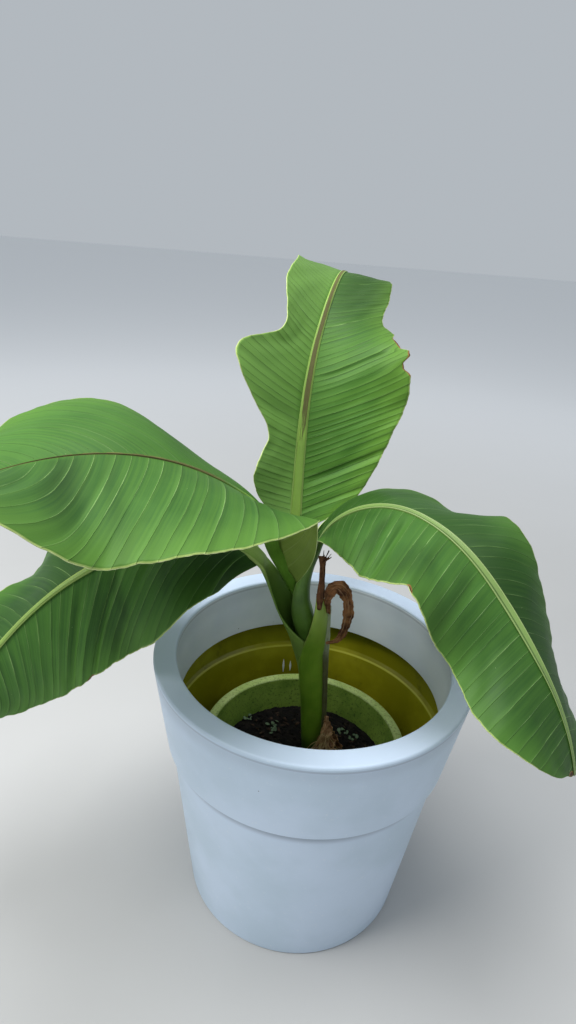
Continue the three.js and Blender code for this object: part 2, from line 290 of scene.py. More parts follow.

# Each blade's deep, light and bright green, as the screen shows them, and how strong the painted shade and
# highlight of its pleats are. A pleat's painted shade lies before its vein, or after it where the light
# comes from the other side.
BLADE_GREENS = {
    "back": [(60, 108, 38), (82, 130, 50), (108, 152, 54)],
    "right": [(45, 84, 31), (60, 102, 39), (80, 122, 45)],
    "left": [(50, 92, 34), (66, 110, 44), (86, 128, 44)],
    "lower": [(46, 88, 32), (62, 108, 40), (86, 134, 48)],
}
PLEAT_SHADING_STRENGTH = {"back": 0.85, "right": 0.6, "left": 0.62, "lower": 0.7}
SHADED_AFTER = ("right",)

# Where a blade is dry: half, share and out of the middle, then reach along and across. All are as strong.
DRY_MOST = 1.2
DRY_PLACES = {
    "back": [(-1, 0.45, 1.01, 0.03, 0.03), (-1, 0.485, 1.02, 0.02, 0.04), (-1, 0.53, 1.0, 0.03, 0.03)],
    "right": [(-1, 0.475, 1.01, 0.012, 0.05), (-1, 0.99, 0.5, 0.008, 0.4)],
    "left": [(1, 0.06, 1.0, 0.012, 0.02)],
    "lower": [(1, 0.6, 1.0, 0.02, 0.02)],
}

# Where painted shade darkens a blade: half, share and out of the middle, reach along and across, and how
# much.
PAINTED_SHADE_PLACES = {
    "back": [(-1, 0.8, 0.5, 0.3, 1, 0.7), (1, 0.87, 0.5, 0.2, 0.9, 0.42), (-1, 0.3, 0.2, 0.2, 0.5, 0.1)],
    "right": [
        (1, 0.6, 0.1, 0.4, 0.9, 0.74),
        (1, 0.15, 0.5, 0.2, 0.7, 0.52),
        (-1, 0.14, 0.4, 0.14, 0.8, 0.45),
        (-1, 0.42, 0.75, 0.04, 0.4, 0.5),
        (-1, 0.29, 0.5, 0.02, 0.4, 0.5),
        (-1, 0.56, 0.8, 0.03, 0.3, 0.15),
        (-1, 0.85, 0.3, 0.2, 0.6, 0.45),
    ],
    "left": [
        (1, 0.53, 0.3, 0.04, 0.4, 0.6),
        (1, 0.62, 0.45, 0.05, 0.6, 0.3),
        (1, 0.45, 0.5, 0.02, 0.4, 0.25),
        (1, 0.12, 0.5, 0.15, 0.8, 0.15),
        (-1, 0.25, 0.6, 0.1, 0.5, 0.25),
    ],
    "lower": [
        (1, 0.1, 0.6, 0.17, 0.9, 0.75),
        (1, 0.44, 0.7, 0.06, 0.6, 0.35),
        (1, 0.4, 0.4, 0.02, 0.4, 0.5),
        (1, 0.27, 0.4, 0.02, 0.5, 0.5),
        (-1, 0.55, 0.4, 0.4, 0.8, 0.6),
    ],
}

# How pale a blade's left half is, and how far the pleats fade on its left and right halves and at its tip.
PALE_HALVES = {"back": 0.68}
CALM_HALVES = {"back": (0.3, 0.1), "right": (0.8, 0.45), "left": (0.1, 0.75), "lower": (0.2, 0.5)}
CALM_TIPS = {"left": 0.75, "back": 0.35}

# The old leaf's sheath is the outermost. It wraps the stem and narrows to a dead stub.
OLD_SHEATH = {
    "foot": (13, 25),
    "leaning": (11, 22, 427),
    "arriving": (4.5, 18, 470),
    "base": (0.5, 18, 500),
    "length": 1,
    "rise": [84, 84],
    "heading": [-20, -20],
    "roll": [0, 0],
    "left": {"fold": [0, 0]},
    "right": {"fold": [0, 0]},
}

# Stalks with the sheaths that they grow out of and the ribs that they run on into. The lists hold values
# at equal steps of part, which is 0 at the stem's foot, 1 at the stalk's foot, 2 at the blade's base and 3
# at its tip. Join is the heights between which a sheath leaves the stem's line for its own, and a groove is
# a painted shade line with its middle and reach across the rib, and its strength. The outer share is how
# much of a grid's width goes to the outside of the section.
OUTER_SHARE = 0.62
PLAIN_GUTTER = {
    "wall": [1.6, 1.6, 1.8, 2, 2, 1.5, 0.6],
    "turn": [0, 0, 0, 0, 0, 0, 0],
    "raised": 1.8,
    "groove": (0, 1, 0),
    "to": 3,
}
GUTTERS = {
    "lower": {
        **PLAIN_GUTTER,
        "half_width": [15, 16.9, 18.5, 20.1, 21, 19.6, 17, 15.7, 14.5, 6.5, 4, 3.4, 1.6],
        "half_depth": [14.5, 17, 18, 11, 9, 5, 1.2],
        "wrap": [160, 155, 125, 78, 80, 95, 95],
        "fill": [0, 0, 0, 1, 7, 5, 1.2],
        "wall": [1.6, 1.6, 1.8, 2.2, 2.2, 1.5, 0.6],
        "turn": [0, 0, -14, -62, -20, 0, 0],
        "join": (350, 480),
        "from": 0,
    },
    "left": {
        **PLAIN_GUTTER,
        "half_width": [10, 10.5, 11, 11.5, 12, 12.3, 12.5, 12.3, 11.5, 4, 1.8, 1.6, 1],
        "half_depth": [10, 10.5, 11, 11.5, 12, 12, 12, 11.5, 10.5, 5.5, 4, 3, 1.2],
        "raised": 0.4,
        "wrap": [160, 150, 130, 105, 95, 95, 95],
        "fill": [0, 0, 0, 0.5, 1, 3, 5, 8, 10, 5.2, 3.6, 2.6, 1.2],
        "join": (405, 500),
        "from": 0.9,
    },
    "right": {
        **PLAIN_GUTTER,
        "half_width": [10, 12, 14, 15.5, 16.5, 15.2, 14.8, 11.5, 8, 6, 5.6, 5, 2],
        "half_depth": [9, 13, 18, 13.5, 8, 5, 1.2],
        "wrap": [150, 150, 145, 130, 105, 98, 98],
        "groove": (-0.3, 0.1, 0.85),
        "fill": [0, 0, 2, 6, 6.6, 2.6, 0.6],
        "join": (380, 465),
        "from": 0.8,
    },
    "back": {
        **PLAIN_GUTTER,
        "half_width": [10, 10, 10, 10, 10, 10, 10, 9.8, 9.2, 8, 5.8, 4.2, 2.8],
        "half_depth": [9, 9, 9, 9, 8, 5.6, 2],
        "wrap": [150, 140, 120, 105, 100, 96, 96],
        "fill": [0, 0, 2, 6, 7.6, 5.4, 1.9],
        "join": (380, 450),
        "from": 0.6,
    },
    "old": {
        **PLAIN_GUTTER,
        "half_width": [16.2, 20, 22.8, 19, 5.4, 5.4, 5.4],
        "half_depth": [15.5, 18.2, 20.4, 13, 4.4, 4.4, 4.4],
        "wrap": [147, 143, 114, 112, 145, 145, 145],
        "fill": [0, 0, 0, 0, 2, 2, 2],
        "wall": [1.4, 1.4, 1.4, 1.4, 1.2, 1, 1],
        "join": (365, 484),
        "from": 0,
        "to": 2,
    },
}
GUTTER_COLUMNS = 56
GUTTER_ROWS = 300
SHEATH_ROWS = 200

# The deep, light and pale green of each stalk or sheath, as the screen shows them, and its brown where dry.
STALK_TONES = {
    "green_stalk": [(74, 110, 34), (100, 142, 48), (154, 180, 94), (112, 88, 54)],
    "bright_stalk": [(82, 126, 34), (108, 156, 50), (158, 188, 98), (108, 104, 50)],
    "right_stalk": [(70, 104, 34), (98, 134, 54), (138, 160, 98), (112, 88, 54)],
    "back_rib": [(106, 148, 40), (138, 180, 60), (150, 180, 92), (100, 86, 50)],
    "stem_core": [(58, 98, 30), (80, 124, 40), (130, 160, 80), (112, 88, 54)],
    "old_sheath": [(108, 150, 38), (134, 174, 54), (188, 200, 112), (112, 88, 54)],
}

# Points of a grid that lie at least this far across are its side edges. Points that are closer together
# than the merge distance, in metres, become one.
SEAM = 0.9999
MERGE_DISTANCE = 1e-6

# What the finishes are told about each point: dry, pale, deep in tone (mostly painted shade), and calm where
# pleats fade.
PAINTS = ("dry", "pale", "deep", "calm")

# Where a blade's half runs down its stalk as a funnel: half, the blade's share and the stalk's part that it
# ends at, and its foot, then how far its middle bulges.
FUNNELS = {"left": (1, 0.052, 1.44, (-32, 14, 516)), "right": (1, 0.05, 1.85, (-12, 40, 545))}
FUNNEL_BULGE = {"left": (10, 3, -6), "right": (-9, 2, 2)}

STEM_CORE_TOP = 415
STEM_HALF_WIDTH = [14, 15, 16.5, 16, 14]
STEM_HALF_DEPTH = [13.5, 14.5, 15, 15, 13]

# Dead parts on the stem's right: each a route with its half widths, and the way that its width lies. The
# strip up the stem turns from brown to pale between two heights.
STRIP_PALE = (375, 415)
DRY_STRIP = {
    "route": [(33, 25, 206), (29, 25, 262), (25, 26, 320), (21, 27, 372), (17, 26, 425), (13.5, 22, 478)],
    "half_width": [4.5, 4, 4, 4.4, 5.6, 5.4],
    "half_depth": [1, 1, 1, 1, 1, 1],
    "way": [(0.8, 0.3, 0), (0.9, 0.2, 0), (1, 0, 0)],
}
DEAD_STUB = {
    "route": [(1.5, 8, 480), (1.5, 11, 500), (1.5, 15, 522), (0.5, 17, 545), (-1, 18, 558)],
    "half_width": [3, 5.6, 4.2, 4.2, 6.2],
    "half_depth": [3.6, 3, 2.2, 2, 1.5],
    "way": [(1, 0.2, 0), (1, 0.1, 0), (1, -0.3, 0)],
}
DEAD_CURL = {
    "route": [
        (14, 19, 468),
        (12.5, 17, 490),
        (15.5, 16, 506),
        (24.5, 15, 515.5),
        (36, 15, 504),
        (42, 15, 486),
        (43.5, 16, 464),
        (40, 17, 441),
        (32, 17, 425),
        (17, 17, 418),
    ],
    "half_width": [4.5, 5.6, 7.6, 9.4, 8.4, 7.4, 7, 5.6, 3.8, 1.6],
    "half_depth": [1.6, 1.6, 1.7, 1.8, 1.8, 1.7, 1.7, 1.7, 1.4, 0.9],
    "way": [
        (-1, 0.2, 0),
        (-0.9, 0.1, 0.3),
        (0, 0.35, 0.9),
        (0.95, 0.1, 0.3),
        (1, -0.2, 0),
        (0.8, -0.2, -0.5),
        (0, -0.5, -0.8),
    ],
}
HUSK_LEAVES = [
    {
        "route": [(31, 19, 284), (34, 15, 262), (39, 10, 238), (45, 4, 208)],
        "half_width": [3, 7, 11, 14],
        "way": [(1, -0.6, 0), (1, -0.5, 0), (1, -0.3, 0)],
    },
    {
        "route": [(29, 16, 270), (27, 12, 248), (22, 9, 226), (14, 8, 206)],
        "half_width": [2, 6, 9, 10],
        "way": [(1, 0.2, 0), (1, 0.3, 0), (1, 0.4, 0)],
    },
    {
        "route": [(33, 22, 276), (42, 20, 254), (54, 18, 232), (62, 14, 212)],
        "half_width": [2, 7, 9, 7],
        "way": [(0.7, -0.7, 0.2), (0.6, -0.7, 0.4), (0.4, -0.8, 0.4)],
    },
    {
        "route": [(46, 2, 226), (56, -3, 215), (64, -3, 217), (67, -1, 226)],
        "half_width": [5, 6, 5, 2],
        "way": [(0.3, -0.9, 0.3), (0.1, -1, 0.2), (0, -1, 0.1)],
    },
    {
        "route": [(30, 13, 252), (33, 6, 238), (30, 1, 222), (26, -2, 208)],
        "half_width": [3, 6, 7, 5],
        "way": [(1, 0.2, 0.2), (1, 0, 0.3), (1, 0.2, 0)],
    },
]
HUSK_FIBRES = 64
STUB_STRANDS = 7

# The deep, light and pale tone of each dry piece, as the screen shows them, and the strip's at its foot.
DRY_TONES = {
    "dead_stub": [(66, 42, 28), (106, 70, 46), (156, 116, 80)],
    "dead_curl": [(84, 52, 34), (154, 106, 68), (206, 168, 132)],
    "dry_strip": [(146, 160, 124), (180, 190, 156), (206, 212, 188)],
    "husk": [(156, 112, 84), (214, 168, 130), (246, 222, 190)],
    "husk_fibres": [(176, 140, 100), (226, 196, 152), (246, 226, 190)],
}
STRIP_FOOT = (88, 84, 44)


def radians(value):
    return np.radians(value)


def srgb(red, green, blue):
    """A colour named by its 0 to 255 screen values, as the shader wants it."""
    shares = [value / 255 for value in (red, green, blue)]
    linear = [s / 12.92 if s <= 0.04045 else ((s + 0.055) / 1.055) ** 2.4 for s in shares]
    return (*linear, 1)


def along(values, share):
    """Value at each share from 0 to 1 of equally spaced values, on a Catmull-Rom curve through them."""
    values = np.asarray(values, float)
    last = len(values) - 1
    place = np.clip(share, 0, 1) * last
    i = np.minimum(place.astype(int), last - 1)
    u = place - i
    here, after_it = values[i], values[i + 1]
    before = np.where(i > 0, values[np.maximum(i - 1, 0)], 2 * here - after_it)
    after = np.where(i + 2 <= last, values[np.minimum(i + 2, last)], 2 * after_it - here)
    slope = after_it - before
    second = 2 * before - 5 * here + 4 * after_it - after
    third = 3 * here - before - 3 * after_it + after
    return 0.5 * (2 * here + slope * u + second * u**2 + third * u**3)


def smooth(low, high, value):
    """0 below low, 1 above high, and a soft step between."""
    share = np.clip((value - low) / (high - low), 0, 1)
    return share * share * (3 - 2 * share)


def wander(value, seed):
    """A smooth irregular wave between about -1 and 1, the same for the same seed."""
    rng = np.random.default_rng(seed)
    total = 0
    for step, size in ((1, 0.5), (2.3, 0.3), (4.9, 0.2)):
        total = total + size * np.sin(value * step + rng.uniform(0, 2 * math.pi))
    return total


def direction_of(rise, heading):
    """Unit vectors with a rise and a heading in degrees."""
    level = np.cos(radians(rise))
    turn = radians(heading)
    return np.stack([level * np.cos(turn), level * np.sin(turn), np.sin(radians(rise))], -1)


def unit(vectors):
    """The vectors at length 1."""
    return vectors / np.linalg.norm(vectors, axis=-1, keepdims=True)


def turned_about(forward, side, degrees):
    """Side and up after a turn about forward."""
    up = np.cross(forward, side)
    angle = radians(degrees)[:, None]
    return side * np.cos(angle) + up * np.sin(angle), up * np.cos(angle) - side * np.sin(angle)


class Finish:
    """A material whose colour, roughness and relief are worked out by nodes."""

    def __init__(self, name, roughness, specular):
        self.material = bpy.data.materials.new(name)
        self.material.use_nodes = True
        self.tree = self.material.node_tree
        self.shader = self.tree.nodes["Principled BSDF"]
        self.shader.inputs["Roughness"].default_value = roughness
        self.shader.inputs["Specular IOR Level"].default_value = specular
        self.tone = None

    def put(self, socket, value):
        if isinstance(value, bpy.types.NodeSocket):
            self.tree.links.new(value, socket)
        else:
            socket.default_value = value

    def node(self, kind, values=(), **settings):
        made = self.tree.nodes.new(kind)
        for name, setting in settings.items():
            setattr(made, name, setting)
        for name, value in dict(values).items():
            self.put(made.inputs[name], value)
        return made

    def place(self, stretch=(1, 1, 1)):
        """The object's own coordinates, stretched along each axis."""
        source = self.node("ShaderNodeTexCoord").outputs["Object"]
        return self.node("ShaderNodeMapping", {"Vector": source, "Scale": stretch}).outputs["Vector"]

    def surface(self, stretch=(1, 1, 1)):
        """The piece's own UV map, stretched along each axis."""
        source = self.node("ShaderNodeUVMap", uv_map="UVMap").outputs["UV"]
        return self.node("ShaderNodeMapping", {"Vector": source, "Scale": stretch}).outputs["Vector"]

    def split(self, vector):
        return self.node("ShaderNodeSeparateXYZ", {"Vector": vector}).outputs

    def painted(self, name):
        return self.node("ShaderNodeAttribute", attribute_name=name).outputs["Fac"]

    def noise(self, vector, scale, detail=3.0, roughness=0.55, distortion=0.0):
        values = {"Vector": vector, "Scale": scale, "Detail": detail}
        values |= {"Roughness": roughness, "Distortion": distortion}
        return self.node("ShaderNodeTexNoise", values).outputs["Fac"]

    def cells(self, vector, scale, output="Distance"):
        return self.node("ShaderNodeTexVoronoi", {"Vector": vector, "Scale": scale}).outputs[output]

    def calc(self, operation, first, second=0.0):
        made = self.node("ShaderNodeMath", operation=operation)
        self.put(made.inputs[0], first)
        self.put(made.inputs[1], second)
        return made.outputs[0]

    def plus(self, first, second):
        return self.calc("ADD", first, second)

    def times(self, first, second):
        return self.calc("MULTIPLY", first, second)

    def ramp(self, value, low, high, start=0.0, end=1.0):
        values = {"Value": value, "From Min": low, "From Max": high, "To Min": start, "To Max": end}
        return self.node("ShaderNodeMapRange", values, interpolation_type="SMOOTHSTEP").outputs["Result"]

    def band(self, place, span, start, end):
        """Goes from start to end over a span of places in millimetres."""
        return self.ramp(place, span[0] * MM, span[1] * MM, start, end)

    def ring(self, height, middle, fade, most):
        """A soft line round a piece at one height, as strong as most at its middle."""
        away = self.calc("ABSOLUTE", self.calc("SUBTRACT", height, middle * MM))
        return self.band(away, fade, most, 0)

    def blend(self, factor, first, second):
        made = self.node("ShaderNodeMix", data_type="RGBA")
        self.put(made.inputs[0], factor)
        self.put(made.inputs[6], first)
        self.put(made.inputs[7], second)
        return made.outputs[2]

    def start(self, pattern, low, high, deep, light):
        """The first tone, which is deep where a pattern is low and light where it is high."""
        self.tone = self.blend(self.ramp(pattern, low, high), deep, light)

    def over(self, mask, colour):
        """Lays a colour over the tone so far, as much as a mask says."""
        self.tone = self.blend(mask, self.tone, colour)

    def rough(self, value):
        self.put(self.shader.inputs["Roughness"], value)

    def relief(self, height, depth):
        """A fine relief: height from 0 to 1, and its depth in metres."""
        values = {"Height": height, "Strength": 1.0, "Distance": depth}
        self.put(self.shader.inputs["Normal"], self.node("ShaderNodeBump", values).outputs["Normal"])

    def finished(self):
        """The material, once its tone is complete."""
        self.put(self.shader.inputs["Base Color"], self.tone)
        return self.material


def planter_finish(name, deep, light):
    """Satin plastic with clouds, dust and specks, painted shade under the collar and the rim, and a painted
    highlight on the rim's top.
    """
    finish = Finish(name, roughness=0.48, specular=0.4)
    place = finish.place()
    height = finish.split(place)[2]
    clouds = finish.noise(place, 7, 4)
    finish.start(clouds, 0.35, 0.65, deep, light)
    finish.over(finish.ramp(finish.noise(place, 160, 3), 0.62, 0.78, 0, 0.35), srgb(222, 228, 234))
    chosen = finish.calc("GREATER_THAN", finish.split(finish.cells(place, 34, "Color"))[0], 0.86)
    specks = finish.calc("LESS_THAN", finish.cells(place, 34), 0.028)
    finish.over(finish.times(specks, chosen), srgb(92, 98, 104))
    # Painted shade: a darker band just under the collar's edge.
    collar_shade = finish.band(height, COLLAR_SHADE_BAND, 0, 0.5)
    finish.over(finish.times(collar_shade, finish.band(height, COLLAR_EDGE, 1, 0)), srgb(104, 112, 124))
    # Painted shade: a soft darker band under the rim, and a thin darker line just below the rim's rounding.
    rim_shade = finish.band(height, RIM_SHADE_BAND, 0, 0.2)
    finish.over(finish.times(rim_shade, finish.band(height, RIM_FOOT, 1, 0)), srgb(140, 150, 166))
    finish.over(finish.ring(height, RIM_SHADE_LINE, RIM_SHADE_LINE_FADE, 0.4), srgb(118, 128, 144))
    # Painted highlight: the rim's top is lighter and bluer, where the sky lights it.
    finish.over(finish.band(height, RIM_TOP_HIGHLIGHT, 0, 0.5), srgb(216, 232, 255))
    scratches = finish.noise(finish.place((1, 1, 0.12)), 420, 2)
    finish.over(finish.ramp(scratches, 0.7, 0.78, 0, 0.25), srgb(236, 240, 245))
    finish.rough(finish.ramp(clouds, 0.3, 0.7, 0.42, 0.55))
    finish.relief(finish.plus(finish.noise(place, 900, 2), finish.noise(place, 60, 2)), 0.00012)
    return finish.finished()


def planter_inside_finish():
    """Glossy olive with water stains, painted shade below the skirt, and a painted highlight along the
    ledge.
    """
    finish = Finish("planter_inside", roughness=0.26, specular=0.5)
    place = finish.place()
    height = finish.split(place)[2]
    finish.start(finish.noise(place, 9, 5), 0.38, 0.66, srgb(142, 138, 20), srgb(172, 166, 34))
    finish.over(finish.ramp(finish.noise(place, 26, 6, 0.7), 0.56, 0.72, 0, 0.6), srgb(104, 98, 20))
    # Painted shade high on the inside, under the skirt.
    finish.over(finish.band(height, INSIDE_SHADE, 0, 0.7), srgb(76, 74, 14))
    # Painted highlight: a light line along the ledge's ridge.
    finish.over(finish.ring(height, RIDGE_HEIGHT, LEDGE_HIGHLIGHT_FADE, 0.7), srgb(206, 204, 76))
    finish.relief(finish.noise(place, 120, 4), 0.0003)
    return finish.finished()


def pot_finish(name, pale, deep, moss):
    """Matt plastic with specks and crusts of moss."""
    finish = Finish(name, roughness=0.62, specular=0.3)
    place = finish.place()
    finish.start(finish.noise(place, 22, 5, 0.65), 0.36, 0.64, pale, deep)
    speckle = finish.noise(place, 300, 4, 0.75)
    finish.over(finish.ramp(speckle, 0.54, 0.62, 0, 0.75), moss)
    finish.over(finish.ramp(finish.noise(place, 55, 6, 0.75), 0.6, 0.72, 0, 0.8), moss)
    finish.relief(speckle, 0.0006)
    return finish.finished()


def soil_finish():
    """Damp dark soil with paler bits in it."""
    finish = Finish("potting_soil", roughness=0.92, specular=0.25)
    place = finish.place()
    finish.start(finish.noise(place, 60, 6, 0.7), 0.4, 0.68, srgb(9, 8, 7), srgb(32, 26, 22))
    finish.over(finish.ramp(finish.noise(place, 340, 3), 0.66, 0.74, 0, 0.7), srgb(96, 84, 70))
    finish.relief(finish.noise(place, 260, 6, 0.75), 0.003)
    return finish.finished()


def bark_chip_finish():
    finish = Finish("bark_chips", roughness=0.9, specular=0.25)
    grain = finish.noise(finish.place(), 210, 4)
    finish.start(grain, 0.35, 0.7, srgb(26, 20, 16), srgb(78, 60, 46))
    finish.relief(grain, 0.0008)
    return finish.finished()


def plantlet_finish():
    finish = Finish("plantlets", roughness=0.6, specular=0.3)
    clouds = finish.noise(finish.place(), 300, 3)
    finish.tone = finish.blend(clouds, srgb(70, 94, 66), srgb(118, 138, 110))
    finish.relief(clouds, 0.0004)
    return finish.finished()


def painted_daylight_finish():
    finish = Finish("painted_daylight_slits", roughness=0.4, specular=0.4)
    clouds = finish.noise(finish.place(), 240, 3)
    # Painted light: near white, for daylight seen through the slits.
    finish.start(clouds, 0.3, 0.7, srgb(232, 236, 236), srgb(250, 250, 248))
    finish.relief(clouds, 0.0002)
    return finish.finished()


def blade_finish(name, greens, pleats, dark_before):
    """The upper side of a blade. The UV map counts veins along and goes from -1 to 1 across."""
    deep, light, bright = (srgb(*green) for green in greens)
    finish = Finish(name, roughness=0.5, specular=0.22)
    count, across = finish.split(finish.surface())[:2]
    out = finish.calc("ABSOLUTE", across)
    clouds = finish.noise(finish.place(), 9, 4)
    finish.start(clouds, 0.32, 0.68, deep, light)
    finish.over(finish.ramp(out, 0.55, 1.0, 0, 0.6), bright)
    finish.over(finish.painted("pale"), srgb(134, 178, 92))
    streaks = finish.noise(finish.surface((5.0, 0.8, 1)), 1.0, 3, 0.6)
    finish.over(finish.ramp(streaks, 0.36, 0.64, 0, 0.3), bright)
    fine = finish.noise(finish.surface((22.0, 0.6, 1)), 1.0, 2)
    finish.over(finish.ramp(fine, 0.4, 0.6, 0, 0.16), bright)
    # Painted shade where the deep paint says.
    finish.over(finish.painted("deep"), srgb(16, 42, 10))

    # Painted shade on one side of each pleat's vein and a painted highlight on the other, more in some
    # places than in others.
    phase = finish.calc("FRACT", count)
    calm = finish.painted("calm")
    uneven = finish.ramp(finish.noise(finish.surface((0.9, 1.1, 1)), 1.0, 2), 0.36, 0.64, 0.05, pleats)
    uneven = finish.times(uneven, finish.calc("SUBTRACT", 1.0, calm))
    if dark_before:
        shade = finish.ramp(phase, 0.55, 1.0, 0, 0.5)
        painted_highlight = finish.ramp(phase, 0.0, 0.3, 0.34, 0)
    else:
        shade = finish.ramp(phase, 0.0, 0.45, 0.5, 0)
        painted_highlight = finish.ramp(phase, 0.7, 1.0, 0, 0.34)
    finish.over(finish.times(shade, uneven), srgb(20, 50, 14))
    finish.over(finish.times(painted_highlight, uneven), srgb(120, 168, 82))

    # The veins are thin pale lines, broken here and there and fainter toward the margin.
    line = finish.ramp(finish.calc("PINGPONG", count, 0.5), 0.0, 0.035, 1, 0)
    broken = finish.ramp(finish.noise(finish.surface((1.7, 2.6, 1)), 1.0, 3), 0.36, 0.62, 0.1, 0.8)
    broken = finish.times(broken, finish.ramp(out, 0.3, 0.9, 1, 0.3))
    broken = finish.times(broken, finish.ramp(calm, 0.0, 1.0, 1, 0.3))
    finish.over(finish.times(line, broken), srgb(158, 196, 120))

    # Pale specks, a pale margin, then the dry places with their darkest middles.
    specks = finish.calc("LESS_THAN", finish.cells(finish.place(), 55), 0.018)
    finish.over(finish.times(specks, 0.8), srgb(190, 205, 150))
    finish.over(finish.ramp(out, 0.984, 0.995, 0, 0.7), srgb(176, 196, 112))
    mottle = finish.times(finish.noise(finish.place(), 190, 4), 0.5)
    dry = finish.plus(finish.painted("dry"), mottle)
    finish.over(finish.ramp(dry, 0.7, 0.85), srgb(134, 96, 52))
    finish.over(finish.ramp(dry, 1.0, 1.15), srgb(58, 38, 26))

    step = finish.times(phase, -0.6 if dark_before else 0.6)
    finish.relief(finish.plus(finish.times(fine, 0.3), finish.plus(line, step)), 0.0004)
    finish.rough(finish.ramp(clouds, 0.3, 0.7, 0.48, 0.6))
    return finish.finished()


def underside_finish():
    """The under side of a blade, paler and duller than the upper one."""
    finish = Finish("blade_underside", roughness=0.6, specular=0.3)
    count = finish.split(finish.surface())[0]
    finish.start(finish.noise(finish.place(), 9, 4), 0.32, 0.68, srgb(102, 126, 44), srgb(122, 146, 58))
    line = finish.ramp(finish.calc("PINGPONG", count, 0.5), 0.0, 0.08, 1, 0)
    finish.over(finish.times(line, 0.35), srgb(150, 172, 100))
    streaks = finish.noise(finish.surface((9.0, 0.6, 1)), 1.0, 3)
    finish.over(finish.ramp(streaks, 0.4, 0.65, 0, 0.3), srgb(136, 158, 82))
    finish.relief(finish.plus(line, streaks), 0.0003)
    return finish.finished()


def margin_finish():
    finish = Finish("blade_margin", roughness=0.5, specular=0.3)
    clouds = finish.noise(finish.place(), 120, 3)
    finish.start(clouds, 0.35, 0.65, srgb(182, 202, 120), srgb(208, 218, 156))
    finish.relief(clouds, 0.0002)
    return finish.finished()


def stalk_finish(name):
    """Stalks, sheaths and ribs, streaked along. The UV map is in metres round and along, and paint says
    where they are pale, dry or deep, where deep is mostly painted shade."""
    deep, light, pale, brown = (srgb(*tone) for tone in STALK_TONES[name])
    finish = Finish(name, roughness=0.42, specular=0.4)
    streaks = finish.noise(finish.surface((900, 14, 1)), 1.0, 3, 0.6)
    finish.start(finish.noise(finish.place(), 24, 4), 0.32, 0.68, deep, light)
    finish.over(finish.ramp(streaks, 0.4, 0.62, 0, 0.35), light)
    finish.over(finish.painted("pale"), pale)
    # Deep paint is mostly painted shade: in the fork, the lower channel, near the soil and along grooves.
    finish.over(finish.painted("deep"), srgb(26, 46, 14))
    mottle = finish.noise(finish.surface((600, 24, 1)), 1.0, 5, 0.7)
    dry = finish.plus(finish.painted("dry"), finish.times(finish.calc("SUBTRACT", mottle, 0.5), 2))
    grain = finish.blend(finish.ramp(streaks, 0.35, 0.65), srgb(68, 58, 32), brown)
    finish.over(finish.ramp(dry, 0.4, 0.62, 0, 0.9), grain)
    finish.rough(finish.ramp(dry, 0.3, 0.7, 0.4, 0.7))
    finish.relief(streaks, 0.00035)
    return finish.finished()


def dry_finish(name, foot=None):
    """Dead tissue, papery and creased along its length, with painted shade in its creases' hollows, and
    another colour at its foot if that is given.
    """
    deep, light, pale = (srgb(*tone) for tone in DRY_TONES[name])
    finish = Finish(name, roughness=0.82, specular=0.2)
    creases = finish.noise(finish.surface((420, 26, 1)), 1.0, 5, 0.65, 0.4)
    finish.start(finish.noise(finish.place(), 70, 5, 0.65), 0.35, 0.62, deep, light)
    finish.over(finish.ramp(creases, 0.5, 0.72, 0, 0.8), pale)
    # Painted shade in the hollows of the creases.
    finish.over(finish.ramp(creases, 0.44, 0.3, 0, 0.7), srgb(34, 22, 16))
    if foot:
        height = finish.split(finish.place())[2]
        finish.over(finish.band(height, STRIP_PALE, 0.85, 0), foot)
    finish.relief(creases, 0.0009)
    return finish.finished()


def add_piece(name, shape, finishes, slot, *nodes, smooth_shaded=True):
    """Makes a piece of a finished bmesh in metres, which rides on the one body."""
    mesh = bpy.data.meshes.new(name)
    shape.to_mesh(mesh)
    shape.free()
    if smooth_shaded:
        mesh.shade_smooth()
    for finish in finishes:
        mesh.materials.append(finish)
    piece = bpy.data.objects.new(name, mesh)
    bpy.context.scene.collection.objects.link(piece)
    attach(piece, "root")
    if nodes:
        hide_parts(*nodes)
    return piece


def new_shape():
    """An empty bmesh with a UV map and the paint that the finishes read."""
    shape = bmesh.new()
    shape.loops.layers.uv.new("UVMap")
    for name in PAINTS:
        shape.verts.layers.float.new(name)
    return shape


def flat_grid(shape, columns, rows):
    """Adds a grid to a bmesh. Gives its points, and each one's place: -1 to 1 across and 0 to 1 along."""
    made = bmesh.ops.create_grid(shape, x_segments=columns, y_segments=rows, size=1)["verts"]
    flat = np.array([vert.co[:2] for vert in made])
    return made, flat[:, 0], np.clip((flat[:, 1] + 1) / 2, 0, 1)


def shape_grid(shape, made, points, uv, paint=()):
    """Moves a grid's points to their places in millimetres, and writes its UV map and its paint."""
    layer = shape.loops.layers.uv["UVMap"]
    for vert, point, place in zip(made, points * MM, uv):
        vert.co = point
        for loop in vert.link_loops:
            loop[layer].uv = place
    for name, values in dict(paint).items():
        channel = shape.verts.layers.float[name]
        for vert, value in zip(made, values):
            vert[channel] = value


def rolled(across):
    """The angle round a tube, so that both side edges of a grid meet at its back."""
    return np.where(np.abs(across) > SEAM, math.pi, across * math.pi)


def close_tubes(shape):
    """Merges the seams of rolled grids, closes their ends and turns their faces outward."""
    bmesh.ops.remove_doubles(shape, verts=shape.verts, dist=MERGE_DISTANCE)
    open_edges = [edge for edge in shape.edges if edge.is_boundary]
    bmesh.ops.holes_fill(shape, edges=open_edges, sides=0)
    bmesh.ops.recalc_face_normals(shape, faces=shape.faces)


def curve(points, share):
    """Places on a Catmull-Rom curve through points."""
    return np.stack([along(axis, share) for axis in zip(*points)], -1)


